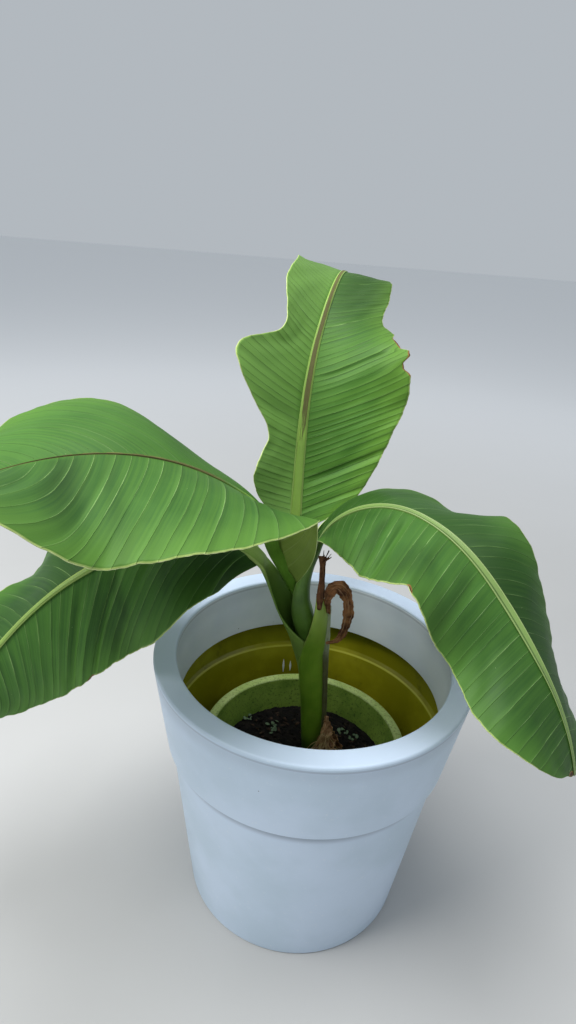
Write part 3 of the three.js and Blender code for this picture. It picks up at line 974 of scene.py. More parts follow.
def add_tube(shape, strip, columns, rows, crumple=0.0, seed=0, cup=0.0):
    """Adds a closed tube along a route, flat or round as its half widths and half depths say."""
    made, across, row = flat_grid(shape, columns, rows)
    ring = np.unique(row)
    which = np.searchsorted(ring, row)
    middle = curve(strip["route"], ring)
    forward = unit(np.gradient(middle, axis=0))
    way = unit(curve(strip["way"], ring))
    way = unit(way - forward * np.sum(way * forward, axis=1, keepdims=True))
    deep = np.cross(forward, way)
    travelled = np.concatenate([[0], np.cumsum(np.linalg.norm(np.diff(middle, axis=0), axis=1))])
    angle = rolled(across)
    half_width = along(strip["half_width"], row)
    half_depth = along(strip["half_depth"], row)
    sideways = np.sin(angle)
    x = half_width * sideways * (1 + 0.25 * crumple * wander(row * 31, seed))
    y = -half_depth * np.cos(angle) + cup * half_width * sideways**2
    y = y + crumple * half_width * 0.3 * wander(row * 23 + 2.2 * sideways, seed + 1)
    y = y + crumple * half_width * 0.12 * wander(row * 60 + 5 * sideways, seed + 2)
    points = middle[which] + way[which] * x[:, None] + deep[which] * y[:, None]
    uv = np.stack([(sideways + 1) * half_width, travelled[which]], -1) * MM
    shape_grid(shape, made, points, uv)


def spun_shape(profile, steps, centre=(0, 0)):
    """A closed body turned about the Z axis from corners given as radius, height and rounding."""
    shape = bmesh.new()
    corners = [shape.verts.new((radius * MM, 0, height * MM)) for radius, height, _ in profile]
    for first, second in zip(corners, corners[1:]):
        shape.edges.new((first, second))
    for corner, (_, _, rounding) in zip(corners, profile):
        if rounding:
            bmesh.ops.bevel(
                shape,
                geom=[corner],
                offset=rounding * MM,
                offset_type="OFFSET",
                segments=4,
                profile=0.5,
                affect="VERTICES",
                material=-1,
            )
    bmesh.ops.spin(
        shape,
        geom=shape.verts[:] + shape.edges[:],
        cent=(0, 0, 0),
        axis=(0, 0, 1),
        angle=2 * math.pi,
        steps=steps,
        use_merge=True,
    )
    bmesh.ops.remove_doubles(shape, verts=shape.verts, dist=MERGE_DISTANCE)
    bmesh.ops.recalc_face_normals(shape, faces=shape.faces)
    for face in shape.faces:
        face.smooth = True
    for edge in shape.edges:
        edge.smooth = edge.calc_face_angle(0) < math.radians(SHARP_ANGLE)
    bmesh.ops.translate(shape, verts=shape.verts, vec=(centre[0] * MM, centre[1] * MM, 0))
    return shape


def planter_side(face):
    """Which of the planter's finishes a face takes: 0 outside, 1 the olive inside, 2 the skirt."""
    middle = face.calc_center_median() / MM
    radius = math.hypot(middle.x, middle.y)
    looks_up = face.normal.z > 0.5
    looks_in = face.normal.x * middle.x + face.normal.y * middle.y < 0
    olive_top = OLIVE_TOP_BEHIND if radius > SKIRT_BACK else OLIVE_TOP
    if looks_in and middle.z < olive_top:
        return 1
    if looks_up and middle.z < LEDGE_TOP and radius < LEDGE_RADIUS:
        return 1
    return 2 if looks_in and middle.z < SKIRT_TOP else 0


def make_planter():
    """The planter in one piece, with its outside, its olive inside and its skirt."""
    shape = spun_shape(PLANTER_OUTSIDE + PLANTER_INSIDE, PLANTER_STEPS)
    for face in shape.faces:
        face.material_index = planter_side(face)
    outside = planter_finish("planter_outside", srgb(188, 206, 222), srgb(199, 215, 233))
    # Painted light: the skirt is the same plastic as the outside, painted lighter.
    skirt_wall_painted_light = planter_finish("planter_skirt_painted_light", srgb(224, 234, 246), srgb(238, 245, 253))
    finishes = [outside, planter_inside_finish(), skirt_wall_painted_light]
    add_piece("planter_shell", shape, finishes, "planter", "planter", smooth_shaded=False)


def make_light_slits():
    """The two narrow spindle-shaped slits in the planter's inner wall, as pale sheets painted near white for
    the daylight through them.
    """
    shape = bmesh.new()
    (foot_radius, foot_height), (top_radius, top_height) = SLIT_WALL
    slope = (top_radius - foot_radius) / (top_height - foot_height)
    upright = Matrix.Rotation(math.radians(90), 3, "X")
    for x, height, half_length in LIGHT_SLITS:
        wall_radius = foot_radius + slope * (height - foot_height) - SLIT_CLEARANCE
        y = math.sqrt(wall_radius**2 - x**2)
        outward = Vector((x, y, 0)).normalized()
        turn = Matrix.Rotation(math.atan2(y, x) - math.pi / 2, 3, "Z")
        made = bmesh.ops.create_circle(shape, cap_ends=True, segments=24, radius=1)
        for vert in made["verts"]:
            sideways = vert.co.x * SLIT_HALF_WIDTH * (1 - SLIT_NARROWING * abs(vert.co.y))
            spot = turn @ (upright @ Vector((sideways, vert.co.y * half_length, 0)))
            vert.co = (spot + outward * slope * spot.z + Vector((x, y, height))) * MM
    piece = add_piece("wall_slits", shape, [painted_daylight_finish()], "planter", smooth_shaded=False)
    thicken(piece, SLIT_THICKNESS)


def thicken(piece, thickness, under=0, rim=0):
    """Gives a sheet its thickness, half to each side. Under and rim pick those sides' finishes."""
    shell = piece.modifiers.new("thickness", "SOLIDIFY")
    shell.thickness = thickness * MM
    shell.offset = 0
    shell.material_offset = under
    shell.material_offset_rim = rim
    shell.use_rim = True


def make_pot():
    """The nursery pot, with a mossier finish on its rim."""
    shape = spun_shape(POT_PROFILE, POT_STEPS, POT_CENTRE)
    for face in shape.faces:
        face.material_index = int(face.calc_center_median().z > POT_RIM_FOOT * MM)
    wall = pot_finish("pot_wall", srgb(154, 184, 80), srgb(124, 156, 64), srgb(70, 92, 38))
    rim = pot_finish("pot_rim", srgb(190, 208, 136), srgb(168, 192, 108), srgb(92, 114, 52))
    add_piece("nursery_pot", shape, [wall, rim], "inner pot", "inner_pot", smooth_shaded=False)


def soil_height(x, y):
    """Height of the soil's surface in millimetres."""
    rough = 2.6 * wander(x * 0.11, 21) * wander(y * 0.12, 22) + 1.3 * wander((x + y) * 0.31, 23)
    fine = 0.9 * wander(x * 0.55 - y * 0.2, 24) * wander(y * 0.6 + x * 0.17, 25)
    mound_x, mound_y = SOIL_MOUND["place"]
    off_mound = ((x - mound_x) ** 2 + (y - mound_y) ** 2) / SOIL_MOUND["reach"] ** 2
    mound = SOIL_MOUND["height"] * np.exp(-off_mound)
    far = np.hypot(x - POT_CENTRE[0], y - POT_CENTRE[1]) / SOIL_RADIUS
    return SOIL_TOP + rough + fine + mound - SOIL_EDGE_DROP * smooth(0.7, 1, far)


def ground_at(x, y):
    """Height of the soil's surface at one place."""
    return float(soil_height(np.array([x]), np.array([y]))[0])


def make_soil():
    """The soil's surface, a grid rounded to a disc, with a plain wall and underside below it."""
    grid = new_shape()
    made, x, y = flat_grid(grid, SOIL_STEPS, SOIL_STEPS)
    y = 2 * y - 1
    disc_x = x * np.sqrt(1 - y * y / 2) * SOIL_RADIUS + POT_CENTRE[0]
    disc_y = y * np.sqrt(1 - x * x / 2) * SOIL_RADIUS + POT_CENTRE[1]
    points = np.stack([disc_x, disc_y, soil_height(disc_x, disc_y)], -1)
    shape_grid(grid, made, points, np.stack([disc_x, disc_y], -1) * MM)
    border = [edge for edge in grid.edges if edge.is_boundary]
    lowered = bmesh.ops.extrude_edge_only(grid, edges=border)["geom"]
    foot = [part for part in lowered if isinstance(part, bmesh.types.BMVert)]
    for vert in foot:
        vert.co.z = (SOIL_TOP - SOIL_DEPTH) * MM
    open_edges = [edge for edge in grid.edges if edge.is_boundary]
    bmesh.ops.holes_fill(grid, edges=open_edges, sides=0)
    bmesh.ops.recalc_face_normals(grid, faces=grid.faces)
    add_piece("potting_soil", grid, [soil_finish()], "soil", "soil")


def random_place(rng, reach):
    """A random place on the soil, clear of the stem."""
    while True:
        x, y = rng.uniform(-reach, reach, 2)
        is_clear = math.dist((x, y), STEM_ON_SOIL) > STEM_CLEARANCE
        if math.hypot(x, y) < reach and is_clear:
            return x + POT_CENTRE[0], y + POT_CENTRE[1]


def random_turn(rng):
    axis = Vector(rng.normal(size=3)).normalized()
    return Matrix.Rotation(rng.uniform(0, 2 * math.pi), 4, axis)


def random_tilt(rng, about_x, about_y):
    first = Matrix.Rotation(rng.uniform(-about_x, about_x), 4, "X")
    return first @ Matrix.Rotation(rng.uniform(-about_y, about_y), 4, "Y")


def make_crumbs():
    """Loose crumbs of soil."""
    rng = np.random.default_rng(31)
    shape = bmesh.new()
    for _ in range(CRUMB_COUNT):
        x, y = random_place(rng, SOIL_RADIUS - 6)
        size = rng.uniform(0.9, 3.4)
        height = ground_at(x, y) + 0.3 * size
        stretch = Matrix.Diagonal((*rng.uniform(0.6, 1.2, 3), 1))
        place = Matrix.Translation(Vector((x, y, height)) * MM) @ random_turn(rng) @ stretch
        bmesh.ops.create_icosphere(shape, subdivisions=1, radius=size * MM, matrix=place)
    add_piece("soil_crumbs", shape, [soil_finish()], "soil")


def make_chips():
    """Flat chips of bark on the soil."""
    rng = np.random.default_rng(37)
    shape = bmesh.new()
    for _ in range(CHIP_COUNT):
        x, y = random_place(rng, SOIL_RADIUS - 10)
        height = ground_at(x, y) + 0.8
        size = Vector((rng.uniform(5, 13), rng.uniform(2, 4.5), rng.uniform(0.8, 1.8)))
        tilt = random_tilt(rng, 0.5, 0.4)
        turn = Matrix.Rotation(rng.uniform(0, math.pi), 4, "Z")
        stretch = Matrix.Diagonal((*size * MM, 1))
        place = Matrix.Translation(Vector((x, y, height)) * MM) @ turn @ tilt @ stretch
        made = bmesh.ops.create_cube(shape, size=1, matrix=place)
        for vert in made["verts"]:
            vert.co += Vector(rng.uniform(-0.9, 0.9, 3)) * MM
    bmesh.ops.recalc_face_normals(shape, faces=shape.faces)
    add_piece("bark_chips", shape, [bark_chip_finish()], "soil")


def make_plantlets():
    """Small seedlings on the soil, each a rosette of rounded leaflets."""
    rng = np.random.default_rng(41)
    shape = bmesh.new()
    for x, y, count, spread in PLANTLETS:
        ground = Vector((x, y, ground_at(x, y)))
        for _ in range(count):
            angle = rng.uniform(0, 2 * math.pi)
            away = spread * math.sqrt(rng.uniform(0.02, 1))
            raised = rng.uniform(1.5, 5)
            centre = ground + Vector((away * math.cos(angle), away * math.sin(angle), raised))
            tilt = random_tilt(rng, 0.5, 0.5)
            stretch = Matrix.Diagonal((rng.uniform(0.7, 1), rng.uniform(1, 1.4), 1, 1))
            place = Matrix.Translation(centre * MM) @ Matrix.Rotation(angle, 4, "Z") @ tilt @ stretch
            size = rng.uniform(2, 3.6)
            bmesh.ops.create_cone(
                shape,
                cap_ends=True,
                cap_tris=True,
                segments=9,
                radius1=size * MM,
                radius2=size * 0.7 * MM,
                depth=0.5 * MM,
                matrix=place,
            )
    add_piece("plantlets", shape, [plantlet_finish()], "soil")


def rib_line(leaf):
    """The rib's line from the blade's base to its tip, as points at equal steps."""
    share = (np.arange(LINE_STEPS) + 0.5) / LINE_STEPS
    moves = direction_of(along(leaf["rise"], share), along(leaf["heading"], share))
    base = np.array(leaf["base"], float)
    return np.vstack([base, base + np.cumsum(moves * leaf["length"] / LINE_STEPS, axis=0)])


def frames_on(leaf, line, share):
    """Place, forward, side (to the left) and up on the rib at each share of its length."""
    steps = np.linspace(0, 1, len(line))
    at = np.stack([np.interp(share, steps, line[:, axis]) for axis in range(3)], -1)
    heading = along(leaf["heading"], share)
    forward = direction_of(along(leaf["rise"], share), heading)
    side = direction_of(np.zeros_like(heading), heading + 90)
    side, up = turned_about(forward, side, along(leaf["roll"], share))
    return at, forward, side, up


def blade_outline(share):
    """Share of its greatest width that a blade has at each share of its length."""
    back = np.clip((WIDEST_AT - share) / WIDEST_AT, 0, 1)
    ahead = np.clip((share - WIDEST_AT) / (1 - WIDEST_AT), 0, 1)
    base = (1 - back ** BASE_CURVE[0]) ** BASE_CURVE[1]
    tip = (1 - ahead ** TIP_CURVE[0]) ** TIP_CURVE[1]
    return np.where(share < WIDEST_AT, base, tip)


def blade_surface(leaf, share, across, trim):
    """Points and normals of a blade, from 0 to 1 along it and -1 (right margin) to 1 (left margin)."""
    at, forward, side, up = frames_on(leaf, rib_line(leaf), share)
    out = np.abs(across)[:, None]
    sign = np.sign(across)[:, None]
    points = np.zeros_like(at)
    normals = np.zeros_like(at)
    for name, chosen in (("left", across >= 0), ("right", across < 0)):
        half = leaf[name]
        width = half["width"] * blade_outline(share) * along(half["edge"], share)
        width = (np.maximum(width, LEAST_HALF_WIDTH) * trim)[:, None]
        fold = radians(along(half["fold"], share))[:, None]
        droop = radians(along(half["droop"], share))[:, None]
        droop = np.where(np.abs(droop) < LEAST_DROOP, LEAST_DROOP, droop)
        slope = fold - droop * out
        scale = width / math.hypot(1, VEIN_SWEEP)
        sideways = scale * (np.sin(fold) - np.sin(slope)) / droop
        lift = scale * (np.cos(slope) - np.cos(fold)) / droop
        shaped = at + side * sign * sideways + up * lift + forward * scale * VEIN_SWEEP * out
        points[chosen] = shaped[chosen]
        normals[chosen] = (up * np.cos(slope) - side * sign * np.sin(slope))[chosen]
    return points, normals


def back_trim(share, across):
    """The torn notch in the back leaf's right margin, as a share of the width that is left."""
    bite = 0.085 * (smooth(0.497, 0.507, share) - smooth(0.545, 0.575, share))
    tear = 0.075 * (smooth(0.43, 0.452, share) - smooth(0.462, 0.485, share))
    return np.where(across < 0, 1 - bite - tear, 1.0)


def right_trim(share, across):
    """The right leaf's split tip and the frayed place in its near margin."""
    split = 0.22 * np.exp(-(((share - 0.985) / 0.012) ** 2))
    fray = 0.035 * np.exp(-(((share - 0.465) / 0.012) ** 2))
    return np.where(across < 0, 1 - split - fray, 1.0)


def left_trim(share, across):
    """The left leaf's wavy far margin."""
    waves = 0.022 * wander(share * 62, 15) * smooth(0.45, 0.6, share)
    return np.where(across < 0, 1 + waves, 1.0)


def plain_trim(share, across):
    return np.ones_like(share)


TRIMS = {"back": back_trim, "right": right_trim, "left": left_trim, "lower": plain_trim}


def spots(places, across, share):
    """The strongest of several soft spots on a blade at each point."""
    total = np.zeros_like(share)
    for half, middle, reach_out, length, width, most in places:
        far = ((share - middle) / length) ** 2 + ((np.abs(across) - reach_out) / width) ** 2
        total = np.maximum(total, np.where(across * half > 0, most * np.exp(-far), 0))
    return total


def vein_count(name, even, length):
    """How many veins lie between a blade's base and each place. Some drift keeps them from even steps."""
    count = even * length / VEINS[name]["spacing"]
    return count + VEIN_DRIFT * wander(count * 1.7, VEINS[name]["seed"] + 1)


def pleat_lift(name, count, even, across):
    """How high the pleats stand. Each rises to its vein by its own size, and fades at the rib and ends."""
    seed = VEINS[name]["seed"]
    rng = np.random.default_rng(seed)
    sizes = rng.uniform(*PLEAT_SIZES, int(count.max()) + 3)
    whole = np.floor(count).astype(int)
    phase = count - whole
    here = sizes[np.clip(whole, 0, len(sizes) - 1)]
    after = sizes[np.clip(whole + 1, 0, len(sizes) - 1)]
    size = here + (after - here) * smooth(0, 1, phase)
    near_vein = np.minimum(phase, 1 - phase)
    pleat = 0.55 * (0.5 - phase) + 0.45 * np.exp(-((near_vein / 0.1) ** 2))
    pleat = pleat + 0.3 * np.cos(2 * math.pi * phase)
    zone = 0.65 + 0.35 * wander(even * 17 + 1.5 * across, seed + 2)
    out = np.abs(across)
    fade = smooth(0.04, 0.16, out) * (1 - 0.55 * smooth(0.7, 1, out))
    fade = fade * smooth(0, 0.05, even) * (1 - smooth(0.93, 1, even))
    return VEINS[name]["height"] * pleat * size * zone * fade


def crease_lift(name, even, across, length):
    """The few deep creases that run out along a vein."""
    out = np.abs(across)
    reach = smooth(0.03, 0.3, out) * (1 - 0.4 * smooth(0.8, 1, out))
    lift = np.zeros_like(even)
    for place, half, height, width in VEINS[name]["creases"]:
        near = np.exp(-(((even - place) * length / width) ** 2))
        lift = lift + height * (across * half > 0) * reach * near
    return lift


def blade_grid(name):
    """A blade's surface as a grid whose rows follow the veins, with pleats, creases and a wavy margin."""
    leaf = LEAVES[name]
    length = leaf["length"]
    seed = VEINS[name]["seed"]
    grid = new_shape()
    made, across, row = flat_grid(grid, BLADE_COLUMNS, BLADE_ROWS)
    across = np.sign(across) * np.abs(across) ** MARGIN_CROWDING
    out = np.abs(across)
    even = row - 0.5 * np.sin(2 * math.pi * row) / (2 * math.pi)
    sweep = np.where(across > 0, *VEINS[name]["sweep"])
    share = even + sweep * out**1.3 * np.sqrt(np.clip(even, 0, 1)) * (1 - even)
    share = np.clip(share, 0, 1)
    ripple = 1 + RIPPLE * wander(share * 90 + 2 * across, seed)
    trim = (1 - (1 - TRIMS[name](share, across)) * out**3) * ripple
    points, normals = blade_surface(leaf, share, across, trim)

    calm = np.where(across > 0, *CALM_HALVES[name])
    calm = np.minimum(calm + CALM_TIPS.get(name, 0) * smooth(0.45, 0.75, share), 1)
    count = vein_count(name, even, length)
    lift = pleat_lift(name, count, even, across) * (1 - calm) + crease_lift(name, even, across, length)
    wave = MARGIN_WAVE * wander(even * 30 + across, seed + 3) * out**3
    billow = BILLOW * wander(even * 12 + 3 * across, seed + 4) * smooth(0.1, 0.6, out)
    ends = smooth(0, 0.06, even) * (1 - smooth(0.94, 1, even))
    points = points + normals * (lift + (wave + billow) * ends)[:, None]

    base_pale = 1.4 - 0.4 * smooth(0.1, 0.4, share)
    paint = {
        "dry": spots([(*place, DRY_MOST) for place in DRY_PLACES[name]], across, share),
        # Deep is painted shade on a blade.
        "deep": spots(PAINTED_SHADE_PLACES[name], across, share),
        "pale": PALE_HALVES.get(name, 0) * smooth(0, 0.15, across) * base_pale,
        "calm": calm,
    }
    shape_grid(grid, made, points, np.stack([count, across], -1), paint)
    bmesh.ops.reverse_faces(grid, faces=grid.faces)
    return grid


def make_blades():
    """The four blades, and the two funnels that run down from them."""
    tops = {}
    for name, greens in BLADE_GREENS.items():
        shaded = name not in SHADED_AFTER
        tops[name] = blade_finish(f"{name}_blade_top", greens, PLEAT_SHADING_STRENGTH[name], dark_before=shaded)
    under = underside_finish()
    margin = margin_finish()
    for name, top in tops.items():
        finishes = [top, under, margin]
        piece = add_piece(f"{name}_blade", blade_grid(name), finishes, "green leaf", f"leaf_{name}")
        thicken(piece, BLADE_THICKNESS, under=1, rim=2)
    for name in FUNNELS:
        make_funnel(name, [tops[name], under, margin])


def bezier(ends, share):
    """Points on a cubic curve from its four control points."""
    first, leaning, arriving, last = (np.array(point, float) for point in ends)
    u = share[:, None]
    start = (1 - u) ** 3 * first + 3 * (1 - u) ** 2 * u * leaning
    return start + 3 * (1 - u) * u**2 * arriving + u**3 * last


def stem_axis(height):
    """The stem's middle at each height, carried on along its lean above the fork."""
    share = (height - STEM_FOOT) / (STALK_FOOT - STEM_FOOT)
    above = np.maximum(height - STALK_FOOT, 0)
    x = along(STEM_X, share) + above * STEM_LEAN[0]
    y = along(STEM_Y, share) + above * STEM_LEAN[1]
    return np.stack([x, y, height], -1)


def gutter_line(leaf, gutter, part):
    """The middle line of a sheath, its stalk and its rib. Part runs 0 to 1 to 2 to 3 through the three."""
    foot = np.array([*leaf["foot"], STALK_FOOT], float)
    base = np.array(leaf["base"], float)
    leaning = np.array(leaf["leaning"], float)
    ends = (foot, leaning, leaf["arriving"], base)
    height = STEM_FOOT + (STALK_FOOT - STEM_FOOT) * np.clip(part, 0, 1)
    slope = (leaning - foot) / (leaning[2] - foot[2])
    below = foot + slope * (height - STALK_FOOT)[:, None]
    stalk = bezier(ends, np.clip(part - 1, 0, 1))
    steps = np.linspace(0, 1, LINE_STEPS + 1)
    rib = rib_line(leaf)
    blade = np.stack([np.interp(np.clip(part - 2, 0, 1), steps, rib[:, axis]) for axis in range(3)], -1)
    line = np.where(part[:, None] < 1, below, np.where(part[:, None] < 2, stalk, blade))
    joined = smooth(*gutter["join"], np.maximum.accumulate(line[:, 2]))[:, None]
    return stem_axis(line[:, 2]) * (1 - joined) + line * joined


def section_points(angle, is_inner, half_width, half_depth, wall, fill):
    """A gutter's section: an outer arc, and an inner one that is filled up from the back."""
    width = half_width - wall * is_inner
    depth = half_depth - wall * is_inner
    raised = fill * np.maximum(np.cos(angle), 0) ** 0.8 * is_inner
    return width * np.sin(angle), -depth * np.cos(angle) + raised


def gutter_frames(leaf, gutter, ring):
    """The line of a sheath, stalk and rib at each ring, and its side and up there. On the blade they follow
    the folds of both halves."""
    line = gutter_line(leaf, gutter, ring)
    forward = unit(np.gradient(line, axis=0))
    blade_share = np.clip(ring - 2, 0, 1)
    heading = along(leaf["heading"], blade_share)
    side = direction_of(np.zeros_like(heading), heading + 90)
    side -= forward * np.sum(side * forward, axis=1, keepdims=True)
    left_fold = along(leaf["left"]["fold"], blade_share)
    right_fold = along(leaf["right"]["fold"], blade_share)
    on_blade = smooth(1.95, 2.12, ring)
    roll = along(leaf["roll"], blade_share) * smooth(1.2, 2, ring)
    roll = roll + along(gutter["turn"], ring / 3) + on_blade * (left_fold - right_fold) / 2
    side, up = turned_about(forward, unit(side), roll)
    valley = np.maximum(np.sin(radians((left_fold + right_fold) / 2)), 0)
    raised = (valley * along(gutter["half_width"], ring / 3) + gutter["raised"]) * on_blade
    return line + up * raised[:, None], side, up


def gutter_grid(leaf, gutter, rows):
    """A sheath that wraps the stem, narrows to a channelled stalk and runs on as the rib of its blade."""
    grid = new_shape()
    made, around, row = flat_grid(grid, GUTTER_COLUMNS, rows)
    part = gutter["from"] + (gutter["to"] - gutter["from"]) * row
    ring = np.unique(part)
    line, side, up = gutter_frames(leaf, gutter, ring)
    which = np.searchsorted(ring, part)
    travelled = np.concatenate([[0], np.cumsum(np.linalg.norm(np.diff(line, axis=0), axis=1))])

    sizes = [along(gutter[key], part / 3) for key in ("half_width", "half_depth", "wall", "fill")]
    wrap = radians(along(gutter["wrap"], part / 3))
    turn = (around + 1) / 2
    is_inner = (turn > OUTER_SHARE).astype(float)
    place = np.where(is_inner > 0, (1 - turn) / (1 - OUTER_SHARE), turn / OUTER_SHARE)
    angle = (2 * place - 1) * wrap
    x, y = section_points(angle, is_inner, *sizes)
    first_x, first_y = section_points(-wrap, 0, *sizes)
    closing = np.abs(around) > SEAM
    x = np.where(closing, first_x, x)
    y = np.where(closing, first_y, y)
    points = line[which] + side[which] * x[:, None] + up[which] * y[:, None]
    uv = np.stack([angle * sizes[0], travelled[which]], -1) * MM
    return grid, made, points, uv, part, angle / wrap, is_inner


def make_gutter(piece_name, route, gutter, finish, slot, node, paints, rows=GUTTER_ROWS):
    """A gutter with its paint: dry, pale and deep are each worked out from the place on it."""
    grid, made, points, uv, part, aside, is_inner = gutter_grid(route, gutter, rows)
    middle, reach, most = gutter["groove"]
    # The groove is a painted shade line: it goes into the deep paint and out of the pale.
    groove = most * is_inner * smooth(2.02, 2.15, part) * np.exp(-(((aside - middle) / reach) ** 2))
    dry, pale, deep = (paint(part, np.abs(aside), is_inner) for paint in paints)
    paint = {"dry": dry, "pale": pale * (1 - groove), "deep": np.maximum(deep, groove)}
    shape_grid(grid, made, points, uv, paint)
    close_tubes(grid)
    add_piece(piece_name, grid, [finish], slot, node)


def no_dry(part, toward_margin, is_inner):
    return np.zeros_like(part)


def back_dry(part, toward_margin, is_inner):
    """The back leaf's rib has gone brown on its upper side, from about a quarter of its length up."""
    return is_inner * (1 - smooth(0.4, 0.7, toward_margin)) * smooth(2.08, 2.5, part)


def left_dry(part, toward_margin, is_inner):
    """The left leaf's rib is a thin brown groove."""
    return is_inner * smooth(2.1, 2.3, part) * (1 - 0.4 * smooth(2.6, 2.9, part))


def margin_pale(part, toward_margin, is_inner):
    """A sheath's or stalk's thin pale margin, and a paler channel."""
    edge = smooth(0.9, 0.97, toward_margin)
    channel = is_inner * (1 - toward_margin) * smooth(1, 1.4, part) * 0.35
    return np.clip(edge * 0.8 + channel, 0, 1)


def rib_pale(part, toward_margin, is_inner):
    """Pale edges and a bright channel along a rib's upper side."""
    edge = smooth(0.72, 0.9, toward_margin) * smooth(1.8, 2.1, part)
    channel = is_inner * smooth(1.5, 2.0, part) * 0.35
    return np.clip(edge * 0.8 + channel + margin_pale(part, toward_margin, is_inner) * 0.5, 0, 1)


def lower_pale(part, toward_margin, is_inner):
    """The lower leaf's sheath is greyer and paler outside."""
    outside = (1 - is_inner) * 0.5 * (1 - smooth(1.3, 1.8, part)) * smooth(0.1, 0.6, part)
    return np.maximum(outside, rib_pale(part, toward_margin, is_inner))


def left_pale(part, toward_margin, is_inner):
    """The left leaf's rib is pale only up to the blade."""
    return rib_pale(part, toward_margin, is_inner) * (1 - smooth(2.05, 2.2, part))


def left_rib_deep_and_shade(part, toward_margin, is_inner):
    """The left leaf's rib is a deeper green along the blade, with the painted shade of the fork below it."""
    return np.maximum(fork_shade(part, toward_margin, is_inner), 0.5 * smooth(2.1, 2.2, part))


def lower_channel_shade(part, toward_margin, is_inner):
    """Painted shade in the lower leaf's channel, from its foot to the blade."""
    on_stalk = smooth(1, 1.2, part) * (1 - smooth(1.95, 2.15, part))
    return is_inner * (1 - smooth(0.9, 1, toward_margin)) * 0.4 * on_stalk


def fork_shade(part, toward_margin, is_inner):
    """Painted shade: stalks are darker inside the fork."""
    return 0.2 * smooth(1.15, 1.6, part) * (1 - smooth(1.95, 2.1, part))


def soil_line_shade(part, toward_margin, is_inner):
    """Painted shade: the old sheath is darker near the soil."""
    return 0.75 * (1 - smooth(0.05, 0.3, part))


def make_stalks():
    """The four stalks with their ribs. Each has its finish, then the paint for dry, pale and deep."""
    stalks = {
        "lower": ("green_stalk", (no_dry, lower_pale, lower_channel_shade)),
        "left": ("bright_stalk", (left_dry, left_pale, left_rib_deep_and_shade)),
        "right": ("right_stalk", (no_dry, rib_pale, fork_shade)),
        "back": ("back_rib", (back_dry, rib_pale, fork_shade)),
    }
    for name, (looks, paints) in stalks.items():
        route, gutter, finish = LEAVES[name], GUTTERS[name], stalk_finish(looks)
        make_gutter(f"{name}_stalk", route, gutter, finish, "green stalk", f"stalk_{name}", paints)


def sheath_pale(part, toward_margin, is_inner):
    """The old sheath has a pale margin, and turns yellow-green toward its tip."""
    edge = smooth(0.94, 0.985, toward_margin) * smooth(0.7, 1.1, part)
    return np.clip(edge * 0.9 + 0.42 * smooth(1.0, 1.9, part), 0, 1)


def sheath_dry(part, toward_margin, is_inner):
    """The old sheath's tip is dry at its margins."""
    return 0.9 * smooth(1.9, 2.0, part) * smooth(0.5, 1, toward_margin)


def make_stem():
    """The wrapped sheaths: a core, and over it the old leaf's sheath."""
    shape = new_shape()
    made, across, row = flat_grid(shape, 48, 90)
    height = STEM_FOOT + (STEM_CORE_TOP - STEM_FOOT) * row
    angle = rolled(across)
    ridge = 1 + 0.012 * wander(angle * 9, 61) + 0.01 * wander(angle * 21 + row, 62)
    half_width = along(STEM_HALF_WIDTH, row) * ridge
    half_depth = along(STEM_HALF_DEPTH, row) * ridge
    sides = np.stack([np.sin(angle) * half_width, -np.cos(angle) * half_depth, np.zeros_like(row)], -1)
    uv = np.stack([angle * half_width, height], -1) * MM
    shape_grid(shape, made, stem_axis(height) + sides, uv)
    close_tubes(shape)
    add_piece("stem_core", shape, [stalk_finish("stem_core")], "green stalk", "stem")
    gutter, sheath = GUTTERS["old"], stalk_finish("old_sheath")
    paints = (sheath_dry, sheath_pale, soil_line_shade)
    make_gutter(
        "old_sheath_wrap", OLD_SHEATH, gutter, sheath, "old sheath", "old_sheath", paints, SHEATH_ROWS
    )


def add_dry_piece(name, shape, slot, *nodes, foot=None):
    """Closes a shape's tubes and adds it as a dry piece."""
    close_tubes(shape)
    add_piece(name, shape, [dry_finish(name, foot)], slot, *nodes)


def make_dead_stub():
    """The dry end of the old stalk, with strands that stand out of its tip."""
    shape = new_shape()
    add_tube(shape, DEAD_STUB, columns=20, rows=60, crumple=0.25, seed=71)
    rng = np.random.default_rng(72)
    for _ in range(STUB_STRANDS):
        top = (rng.uniform(-12, 12), rng.uniform(13, 23), rng.uniform(556, 570))
        strand = {
            "route": [(1, 17, 530), (0.4, 17, 546), top],
            "half_width": [1.8, 2.4, 1.1],
            "half_depth": [0.7, 0.6, 0.4],
            "way": [(1, 0, 0), (1, 0.4, 0), (rng.uniform(-1, 1), 1, 0)],
        }
        add_tube(shape, strand, columns=8, rows=16, crumple=0.3, seed=int(rng.integers(1000)))
    add_dry_piece("dead_stub", shape, "dry leaf", "dead_stalk")


def make_dead_curl():
    """The dry leaf that hangs from the stub in a curl."""
    shape = new_shape()
    add_tube(shape, DEAD_CURL, columns=36, rows=200, crumple=0.85, seed=75, cup=0.35)
    add_dry_piece("dead_curl", shape, "dry leaf", "dead_leaf")


def make_dry_strip():
    """The papery edge of the old sheath that runs up the stem's right."""
    shape = new_shape()
    add_tube(shape, DRY_STRIP, columns=20, rows=140, crumple=0.25, seed=81, cup=0.15)
    add_dry_piece("dry_strip", shape, "old sheath", foot=srgb(*STRIP_FOOT))


